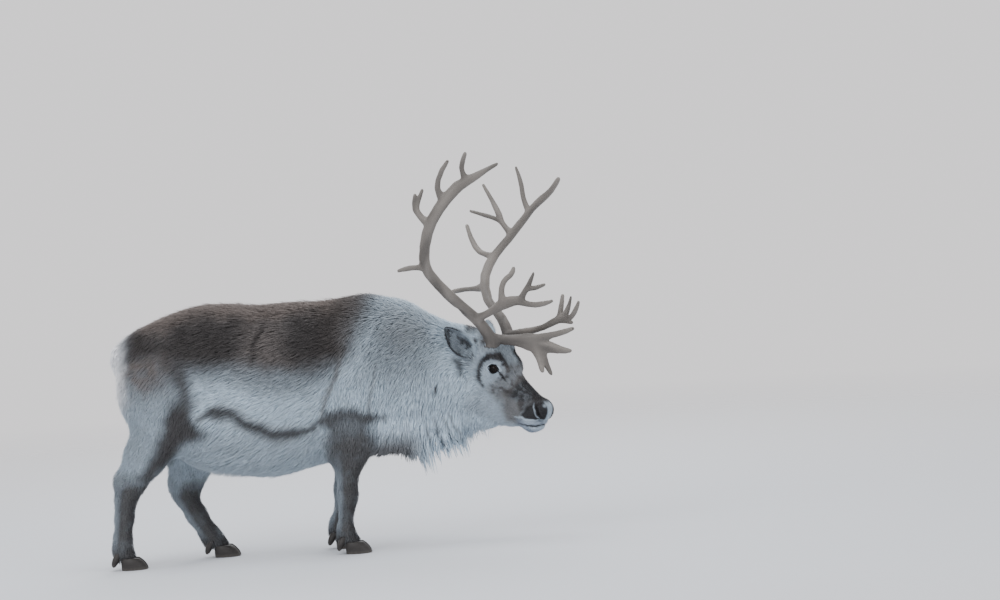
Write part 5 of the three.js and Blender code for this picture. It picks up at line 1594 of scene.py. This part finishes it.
def ear_shell():
    """The left ear in the head's frame: its outer and inner grids, the way to its tip, and its shares."""
    t = np.linspace(-0.12, 1, EAR_ROWS)[:, None]
    root, middle, tip = EAR["root"], EAR["middle"], EAR["tip"]
    centre = root * (1 - t) ** 2 + middle * 2 * t * (1 - t) + tip * t ** 2
    ahead = unit((1 - t) * (middle - root) + t * (tip - middle))
    across = unit(np.cross(EAR["open"], ahead))
    over = unit(np.cross(ahead, across))
    leaf = np.sin(np.pi * np.clip(0.16 + 0.83 * np.clip(t, 0, 1) ** 1.15, 0, 1)) ** 0.8
    wide, deep = EAR["wide"] * leaf + 0.0012, EAR["deep"] * leaf ** 0.6 + 0.0008
    wall = np.minimum(EAR["wall"], 0.4 * np.minimum(wide, deep))
    share = np.linspace(-1, 1, EAR_COLUMNS)[None]
    turn = lerp(EAR["closed"], EAR["wrap"], ease(0.0, 0.42, t)) * share
    curl = 1 + 0.05 * np.sin(t * 9 + share * 4) * np.abs(share) ** 3

    def shell(inset):
        aside = ((wide - inset) * np.sin(turn) * curl)[..., None] * across[:, None]
        return centre[:, None] + aside - ((deep - inset) * np.cos(turn))[..., None] * over[:, None]

    ways = [np.broadcast_to(way[:, None], (EAR_ROWS, EAR_COLUMNS, 3)) for way in (ahead, across)]
    return shell(0), shell(wall), *ways, t + 0 * share, share + 0 * t


def two_sided(rows, columns):
    """Faces of a closed shell from an outer and an inner grid of corners."""
    outer = np.arange(rows * columns).reshape(rows, columns)
    inner = outer + rows * columns
    strips = [
        (outer[:, 0], inner[:, 0]),
        (inner[:, -1], outer[:, -1]),
        (inner[0], outer[0]),
        (outer[-1], inner[-1]),
    ]
    rims = [np.stack([a[:-1], a[1:], b[1:], b[:-1]], 1) for a, b in strips]
    lining = grid_faces(rows, columns, rows * columns)[:, ::-1]
    return np.concatenate([grid_faces(rows, columns), lining, *rims])


def ear_colour(p, t, share, inside):
    """Grey with a black edge outside; pale within, with dark flecks and a white tuft at the front."""
    flecks = ease(0.0, 0.35, 0.5 * grain(p, 0.006, 21) + grain(p, 0.017, 22))
    front = ease(0.25, 0.6, share) * ease(0.85, 0.5, t)
    edge = ease(0.84, 0.96, np.abs(share)) * (1 - 0.85 * front) * ease(0.12, 0.3, t)
    return painted(
        np.tile(COAT_TONES["pale"], (len(p), 1)),
        ("grey", 0.25 + 0.35 * inside),
        ("face_dark", 0.85 * flecks * (0.35 + 0.65 * inside)),
        ("white", 0.85 * front),
        ("face_dark", 0.9 * np.maximum(edge, ease(0.93, 1.0, t))),
    )


def build_ear(name, finish, seed):
    """An ear and the hair on it."""
    side = ANTLER_SIDES[name]
    outer, inner, lie, across, t, share = ear_shell()
    mirror = row(1, side, 1)
    corners = turned(np.concatenate([outer, inner]).reshape(-1, 3) * mirror, HEAD_YAW) + HEAD_PIVOT
    mesh = closed_mesh(f"{name}_ear", corners, two_sided(EAR_ROWS, EAR_COLUMNS))
    inside = np.repeat([0.0, 1.0], EAR_ROWS * EAR_COLUMNS)
    t, share = np.tile(t.ravel(), 2), np.tile(share.ravel(), 2)
    colour = ear_colour(corners, t, share, inside)
    # Painted shade: the ear's skin darker than its hair, for the underfur's own grey and for shade under the
    # hair
    mark(mesh, "coat", colour * 0.8)
    hide = Hide(*arrays_of(mesh))
    rim = ease(0.72, 0.95, np.abs(share)) * ease(1.0, 0.85, t)
    lie, across = (np.tile(turned(way.reshape(-1, 3) * mirror, HEAD_YAW), (2, 1)) for way in (lie, across))
    edgeward = across * np.sign(share)[:, None]
    fall = unit(lie * 0.8 + edgeward * (0.35 + 0.5 * rim)[:, None] + hide.normals * 0.25)
    lie = unit(lie + edgeward * (0.3 * inside)[:, None])
    hide.lie = unit(lie - hide.normals * dot(lie, hide.normals)[:, None])
    fringe = inside * ease(0.3, 0.8, share) * ease(0.7, 0.3, t)
    hide.long = lerp(0.012, 0.017, inside) + 0.006 * rim + 0.016 * fringe
    hide.deep = lerp(0.0018, 0.0035, inside)
    hide.clump = 0.25 * inside
    hide.hang = np.clip(0.9 * rim + 0.35 * inside, 0, 1)
    hide.fall, hide.colour = fall, colour
    place(mesh.name, mesh, skin, "face_coat", f"ear_{name}")
    shown = np.flatnonzero(t[hide.triangles].min(axis=1) > 0.0)
    grow(f"{name}_ear_hair", hide, shown, finish, "face_coat", 2, seed, 0.25, 0.75)


# Eyes: a dark ball behind a hoop of lids

IRIS_EDGE = 0.60
PUPIL = (0.0080, 0.0045)
EYE_ROWS, EYE_COLUMNS = 44, 64
LID_TURNS = 80
# Each ring of the lids: its size, how far it lies on the ball rather than the cheek, and its lift
LID_RINGS = [
    (1.62, 0.0, -0.0030), (1.52, 0.0, 0.0002), (1.38, 0.0, 0.0018), (1.26, 0.25, 0.0028),
    (1.15, 0.7, 0.0033), (1.07, 1.0, 0.0031), (1.01, 1.0, 0.0022), (0.975, 1.0, 0.0010),
    (0.97, 1.0, -0.0006), (1.10, 1.0, -0.0035), (1.45, 0.0, -0.0080),
]
LASHES = {"count": 34, "long": 0.0085, "wide": 0.0006}


def cheek_out(along, above, side):
    """How far out the coat's outline lies from the middle of the face."""
    near, far = np.full(len(along), 0.02), np.full(len(along), 0.14)
    for _ in range(24):
        half = (near + far) / 2
        inside = flesh(on_face(along, side * half, above)) < 0
        near, far = np.where(inside, half, near), np.where(inside, far, half)
    return near


def build_eyeball(side, finish):
    """An eyeball that bulges over its iris."""
    node = EYE_NODES[side]
    tip = unit(row(0.16, side, 0.04))
    ahead = unit(np.cross(tip, row(0, 0, 1)))
    over = np.cross(ahead, tip)
    turn = 2 * np.pi * np.arange(EYE_COLUMNS) / EYE_COLUMNS
    rings, colours = [], []
    for polar in np.pi * np.linspace(0.01, 0.99, EYE_ROWS) ** 1.3:
        bulge = 0.0016 * math.cos(min(polar / IRIS_EDGE, 1) * math.pi / 2) ** 2
        radius = EYE_RADIUS + bulge
        a, b = radius * math.sin(polar) * np.cos(turn), radius * math.sin(polar) * np.sin(turn)
        rings.append(a[:, None] * ahead + b[:, None] * over + radius * math.cos(polar) * tip)
        pupil = (1 - ease(0.85, 1.1, np.hypot(a / PUPIL[0], b / PUPIL[1]))) * (polar < 1)
        iris = 1 - ease(IRIS_EDGE - 0.08, IRIS_EDGE, np.full(EYE_COLUMNS, polar))
        shade = lerp(row(0.006, 0.005, 0.005), row(0.010, 0.0065, 0.005), iris[:, None])
        colours.append(lerp(shade, row(0.001, 0.001, 0.001), pupil[:, None]))
    corners, faces = loft(np.array(rings))
    colours = np.concatenate([np.concatenate(colours), colours[0][:1], colours[-1][:1]])
    centre = EYE_CENTRE[side]
    mesh = closed_mesh("eyeball_" + node[4:], on_face(*(corners + centre).T), faces)
    mark(mesh, "coat", colours)
    place(mesh.name, mesh, finish, "eye", node)


def lid_ring(side, size, ball, lift, share=None):
    """A ring of the lids at a size of the opening, on the eyeball or on the cheek by a share."""
    turn = 2 * np.pi * (np.arange(LID_TURNS) / LID_TURNS if share is None else share)
    hood = np.clip(np.sin(turn), 0, 1) * (1 - np.abs(size - 1.1) * 2)
    size = size - 0.05 * np.maximum(hood, 0)
    along, out, above = EYE_CENTRE[side]
    a = np.cos(turn) * EYE_OPEN["wide"] * size
    b = np.sin(turn) * EYE_OPEN["tall"] * size * (1 - 0.3 * np.abs(np.cos(turn)) ** 3)
    c, s = math.cos(EYE_OPEN["slant"]), math.sin(EYE_OPEN["slant"])
    along, above = along + a * c - b * s, above + a * s + b * c
    on_ball = abs(out) + np.sqrt(np.maximum(EYE_RADIUS ** 2 - a ** 2 - b ** 2, 0.0078 ** 2))
    on_cheek = cheek_out(along, above, side) - 0.0028
    height = lerp(on_cheek, on_ball, ball) + lift + 0.0012 * np.maximum(hood, 0)
    return on_face(along, side * height, above)


def build_lids(side, finish, lash, seed):
    """The hoop of lids round an eye, its hair and its lashes."""
    name = EYE_NODES[side][4:]
    rings = np.array([lid_ring(side, *spec) for spec in LID_RINGS])
    corners = rings.reshape(-1, 3)
    faces = grid_faces(len(rings) + 1, LID_TURNS, closed=True) % len(corners)
    mesh = closed_mesh(f"{name}_lids", corners, faces)
    size = np.repeat([spec[0] for spec in LID_RINGS], LID_TURNS)
    outer = np.repeat(np.arange(len(LID_RINGS)), LID_TURNS) < 5
    bare = np.maximum(1 - ease(1.27, 1.37, size), ~outer)
    colour = lerp(coat_colour(corners), row(0.010, 0.009, 0.010), bare[:, None])
    mark(mesh, "coat", colour)
    place(mesh.name, mesh, skin, "face_coat")
    hide = Hide(*arrays_of(mesh))
    away = unit(corners - on_face(*EYE_CENTRE[side]) + face_way(-0.012, 0, 0))
    hide.lie = unit(away - hide.normals * dot(away, hide.normals)[:, None])
    hide.long, hide.deep = np.full(len(corners), 0.0065), np.full(len(corners), 0.0014)
    hide.clump = hide.hang = np.zeros(len(corners))
    hide.fall = hide.lie
    hide.colour = colour
    furry = (size > 1.25) & outer & (size < 1.6)
    chosen = np.flatnonzero(furry[hide.triangles].all(axis=1))
    grow(f"{name}_lid_hair", hide, chosen, finish, "face_coat", 2, seed, 0.25, 1.3)
    random = np.random.default_rng(seed)
    share = np.linspace(0.04, 0.46, LASHES["count"]) + random.normal(0, 0.003, LASHES["count"])
    root = lid_ring(side, 1.03, 1.0, 0.0028, share)
    out, up = face_way(0, side, 0), face_way(0, 0, 1)
    sweep = unit(root - on_face(*EYE_CENTRE[side])) + out * 0.6 + random.normal(0, 0.12, root.shape)
    long = LASHES["long"] * random.uniform(0.7, 1.1, len(root))[:, None]
    steps = np.linspace(0, 1, 5)[None, :, None]
    line = root[:, None] + unit(sweep)[:, None] * long[:, None] * steps
    line = line - up * long[:, None] * 0.25 * steps ** 2
    ups = np.broadcast_to(up, line.shape)
    wide = np.full(len(root), LASHES["wide"])
    black = np.full(line.shape, 0.008)
    spots = np.stack([np.linspace(0.05, 0.95, len(root)), np.full(len(root), 0.5)], 1)
    lashes = tufts(f"{name}_lashes", line, ups, wide, black, spots, random)
    place(lashes.name, lashes, lash, "face_coat")


for seed, name in enumerate(ANTLER_SIDES):
    build_ear(name, FACE_COAT, 60 + seed)
eye = eye_finish()
for seed, side in enumerate(EYE_NODES):
    build_eyeball(side, eye)
    build_lids(side, FACE_COAT, LEG_COAT, 70 + seed)


# Antlers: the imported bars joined, webbed at their forks and grooved along their length

ANTLERS = {
    "right": ("lower", "middle", "crown", "back", "rear", "bez", "brow"),
    "left": ("lower", "middle", "crown", "back", "rear", "fork", "brow"),
}
WEB = 0.0034
WELD = 0.00001
FULLER = 0.0020
ANTLER_CELL = 0.0030
GROOVE = 0.0008
BLUNT = 0.0044


def swollen(nodes, by):
    """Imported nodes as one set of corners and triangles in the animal's frame, each grown outwards."""
    corners, triangles, count = [], [], 0
    for node in nodes:
        places, faces = arrays_of(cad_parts[node].data)
        _, first, index = np.unique(np.round(places / WELD), axis=0, return_index=True, return_inverse=True)
        places, faces = places[first] - ORIGIN, index.ravel()[faces]
        corners.append(places + normals_of(places, faces) * by)
        triangles.append(faces + count)
        count += len(places)
    return np.concatenate(corners), np.concatenate(triangles)


def lengthwise(normals, edges):
    """The way along the antler at each corner: the one that the normals round it turn about."""
    pairs = [(0, 0), (0, 1), (0, 2), (1, 1), (1, 2), (2, 2)]
    spreads = spread(np.stack([normals[:, a] * normals[:, b] for a, b in pairs], 1), edges, 30)
    tensor = np.empty((len(normals), 3, 3))
    for (a, b), value in zip(pairs, spreads.T):
        tensor[:, a, b] = tensor[:, b, a] = value
    return np.linalg.eigh(tensor)[1][:, :, 0]


def build_antler(name, finish, seed):
    """An antler, its burr and pearls at the foot, its grooves along it."""
    side = ANTLER_SIDES[name]
    nodes = [f"antler_{name}_{length}" for length in ANTLERS[name]]
    corners, triangles = remeshed(*swollen(nodes, WEB), ANTLER_CELL)
    edges = edges_of(triangles)
    corners = spread(corners, edges, 8)
    corners = spread(corners - normals_of(corners, triangles) * (WEB - FULLER), edges, 3)
    normals = normals_of(corners, triangles)
    way = lengthwise(normals, edges)
    run = unit(corners[edges[:, 1]] - corners[edges[:, 0]])
    along = np.abs(dot(run, unit(way[edges[:, 0]]))) ** 6 + 0.002
    random = np.random.default_rng(seed)
    streaks = spread(random.normal(size=(len(corners), 1)), edges, 150, 0.8, along)[:, 0]
    groove = np.clip((streaks - streaks.mean()) / streaks.std(), -2, 2)
    thin = 1 - length_of(spread(normals, edges, 60))
    burr, rise = from_head(*(value * scale for value, scale in zip(BURR["at"], (1, side, 1)))), BURR["way"]
    rise = unit(turned(row(rise[0], side * rise[1], rise[2]), HEAD_YAW))
    above = dot(corners - burr, rise)
    near = 1 - ease(0.045, 0.075, length_of(corners - burr))
    pearls = grain(corners, 0.009, seed) + 0.4 * grain(corners, 0.005, seed)
    swell = BURR["out"] * np.exp(-((above - 0.003) / BURR["tall"]) ** 2) * (0.7 + 0.6 * pearls) * near
    rough = 0.0015 * np.maximum(pearls, 0) * (1 - ease(0.03, 0.14, length_of(corners - burr)))
    fuller = BLUNT * ease(0.25, 0.65, thin)
    corners = corners + normals * (swell + rough + fuller + GROOVE * groove)[:, None]
    mesh = mesh_of(f"{name}_antler", corners, triangles)
    mark(mesh, "groove", groove)
    reach = ease(0.0, 0.18, length_of(corners - burr)) * 0.45
    mark(mesh, "worn", reach + 0.18 * ease(0.35, 0.80, thin) + 0.06 * grain(corners, 0.05, seed + 1))
    place(mesh.name, mesh, finish, "antler", *nodes)


# Hooves: two broad toes a foot that taper to the coronet, and the dewclaws behind them

HOOF = {"length": 0.094, "width": 0.046, "cleft": 0.005, "bow": 0.007}
HOOF_RISE = profile([[0, 1.0, 0.0], [0.3, 0.97, 0.002], [0.7, 0.85, 0.008], [1.0, 0.66, 0.014]])
# The sole's rings from its middle outwards: share of the wall's outline, and height
HOOF_SOLE = [(0.55, 0.0035), (0.84, 0.003), (0.92, 0.0)]
HOOF_ROWS, HOOF_COLUMNS = 18, 56
DEWCLAW = {"radius": 0.0128, "spread": 0.024, "tip": 0.014}
CLAW_ROWS, CLAW_COLUMNS = 18, 24


def build_toe(leg, place_name, inward, finish):
    """A toe of hoof: a bowed wall that leans back, over a dished sole."""
    node = f"hoof_{leg}_{place_name}"
    heel = LEGS[leg]["joints"][-1][1]
    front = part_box(node)[1].x - ORIGIN[0]
    middle = heel + inward * (HOOF["width"] + HOOF["cleft"]) / 2
    turn = 2 * np.pi * np.arange(HOOF_COLUMNS) / HOOF_COLUMNS
    ahead, out = np.cos(turn), np.sin(turn)
    point = np.sign(out) * np.abs(out) ** (1 + 0.35 * np.maximum(ahead, 0))
    bow = -inward * HOOF["bow"] * np.maximum(0, ahead) ** 2
    flat = np.where(out * inward < 0, 0.78, 1.0)
    share = np.linspace(0, 1, HOOF_ROWS)
    size, back = HOOF_RISE(share)
    ridge = 0.0004 * grain(np.stack([share * 0.5, share * 0, share * 0 + heel], 1), 0.035, 3)
    rings = []
    for s, k, b, r in zip(share, size, back, ridge):
        x = front - HOOF["length"] / 2 - b + ahead * (HOOF["length"] / 2 * k + r)
        y = middle + bow + point * flat * (HOOF["width"] / 2 * k + r)
        rings.append(np.stack([x, y, np.full(HOOF_COLUMNS, s * (CORONET - 0.001))], 1))
    centre = row(front - HOOF["length"] / 2, middle, 0)
    sole = [centre + (rings[0] - centre) * k + row(0, 0, lift) for k, lift in HOOF_SOLE]
    corners, faces = loft(np.array(sole + rings))
    mesh = closed_mesh(f"toe_{leg}_{place_name}", corners, faces)
    mark(mesh, "rise", corners[:, 2] / CORONET)
    place(mesh.name, mesh, finish, "hoof", node)


def build_dewclaw(leg, place_name, side, finish):
    """A blunt claw that bends down behind the foot."""
    x, y = LEGS[leg]["joints"][-1][:2]
    out = y + side * DEWCLAW["spread"]
    path = np.array([
        [x - 0.022, out - side * 0.006, CORONET + 0.016],
        [x - 0.038, out, CORONET - 0.002],
        [x - 0.047, out + side * 0.003, DEWCLAW["tip"]],
    ])
    rings = []
    turn = 2 * np.pi * np.arange(CLAW_COLUMNS)[:, None] / CLAW_COLUMNS
    for t in 1 - np.linspace(1, 0, CLAW_ROWS) ** 1.8:
        centre = path[0] * (1 - t) ** 2 + path[1] * 2 * t * (1 - t) + path[2] * t ** 2
        ahead = unit(2 * (1 - t) * (path[1] - path[0]) + 2 * t * (path[2] - path[1]))
        across = unit(np.cross(row(0, 1, 0), ahead))
        over = np.cross(ahead, across)
        radius = DEWCLAW["radius"] * math.sqrt(max(1 - t ** 4, 0.001)) * (1 + 0.02 * math.sin(t * 40))
        rings.append(centre + radius * (np.cos(turn) * across + np.sin(turn) * over))
    corners, faces = loft(np.array(rings))
    mesh = closed_mesh(f"claw_{leg}_{place_name}", corners, faces)
    mark(mesh, "rise", np.maximum(corners[:, 2] - DEWCLAW["tip"], 0) / CORONET)
    place(mesh.name, mesh, finish, "hoof", f"dewclaw_{leg}_{place_name}")


antler = antler_finish()
for seed, name in enumerate(ANTLERS):
    build_antler(name, antler, 40 + seed)
horn = horn_finish()
for leg in LEGS:
    outward = -1 if leg.endswith("right") else 1
    for place_name, way in (("inner", -outward), ("outer", outward)):
        build_toe(leg, place_name, way, horn)
        build_dewclaw(leg, place_name, way, horn)


# Stage: a plain pale floor, soft lights and the camera

SHOT = {"tilt": math.radians(3.0), "roll": math.radians(4.2), "distance": 16.0}
# The photo's scale: metres to a pixel, and pixels across
PHOTO = {"pixel": 0.00365, "width": 1000}
AIM = row(1.0294, 0, 0.8744) + ORIGIN


def build_camera():
    """The camera at the photo's angle, with its roll."""
    camera = bpy.data.cameras.new("camera")
    camera.sensor_width = 36.0
    camera.lens = camera.sensor_width * SHOT["distance"] / (PHOTO["pixel"] * PHOTO["width"])
    camera.clip_end = 200
    holder = bpy.data.objects.new("camera", camera)
    bpy.context.scene.collection.objects.link(holder)
    ahead = Vector((0, math.cos(SHOT["tilt"]), -math.sin(SHOT["tilt"])))
    holder.location = Vector(AIM) - ahead * SHOT["distance"]
    level = ahead.to_track_quat("-Z", "Y").to_matrix()
    holder.rotation_euler = (level @ Matrix.Rotation(-SHOT["roll"], 3, "Z")).to_euler()
    bpy.context.scene.camera = holder


# Each lamp: where it hangs, its width, its power and its colour
LAMPS = {
    "key": ((-2.5, -4.0, 4.2), 3.5, 130, (0.94, 0.97, 1.0)),
    "fill": ((3.5, -3.0, 2.2), 3.0, 30, (0.90, 0.96, 1.0)),
    "back": ((0.5, 4.5, 3.6), 3.5, 110, (0.96, 0.98, 1.0)),
    "top": ((0.0, 0.0, 5.0), 3.0, 90, (0.92, 0.96, 1.0)),
}


def soft_light(name, place_at, size, power, colour):
    """A round lamp that faces the middle of the animal."""
    lamp = bpy.data.lights.new(name, "AREA")
    lamp.shape, lamp.size, lamp.energy, lamp.color = "DISK", size, power, colour
    holder = bpy.data.objects.new(name, lamp)
    bpy.context.scene.collection.objects.link(holder)
    holder.location = place_at
    holder.rotation_euler = (Vector((0, 0, 0.6)) - Vector(place_at)).to_track_quat("-Z", "Y").to_euler()


def build_floor():
    """A plain floor that fades out into the pale backdrop a few metres round the animal."""
    bpy.ops.mesh.primitive_circle_add(vertices=128, radius=60, fill_type="NGON")
    floor = bpy.context.object
    floor.name = "floor"
    finish = Finish("pale_floor", Roughness=0.8, Specular_IOR_Level=0.2)
    finish.set("Base Color", tone(0.62, 0.645, 0.68))
    far = finish.node("ShaderNodeVectorMath", {"operation": "LENGTH"}, {0: finish.object_place()}, "Value")
    finish.set("Alpha", finish.band(far, 1.0, 0.0, 2.2, 7.5))
    floor.data.materials.append(finish.material)


def build_sky():
    """A pale light from all round."""
    world = bpy.data.worlds.new("studio")
    bpy.context.scene.world = world
    world.use_nodes = True
    background = world.node_tree.nodes["Background"]
    background.inputs["Color"].default_value = tone(0.80, 0.785, 0.80)
    background.inputs["Strength"].default_value = 1.45


build_camera()
build_floor()
build_sky()
for name, lamp in LAMPS.items():
    soft_light(name, *lamp)
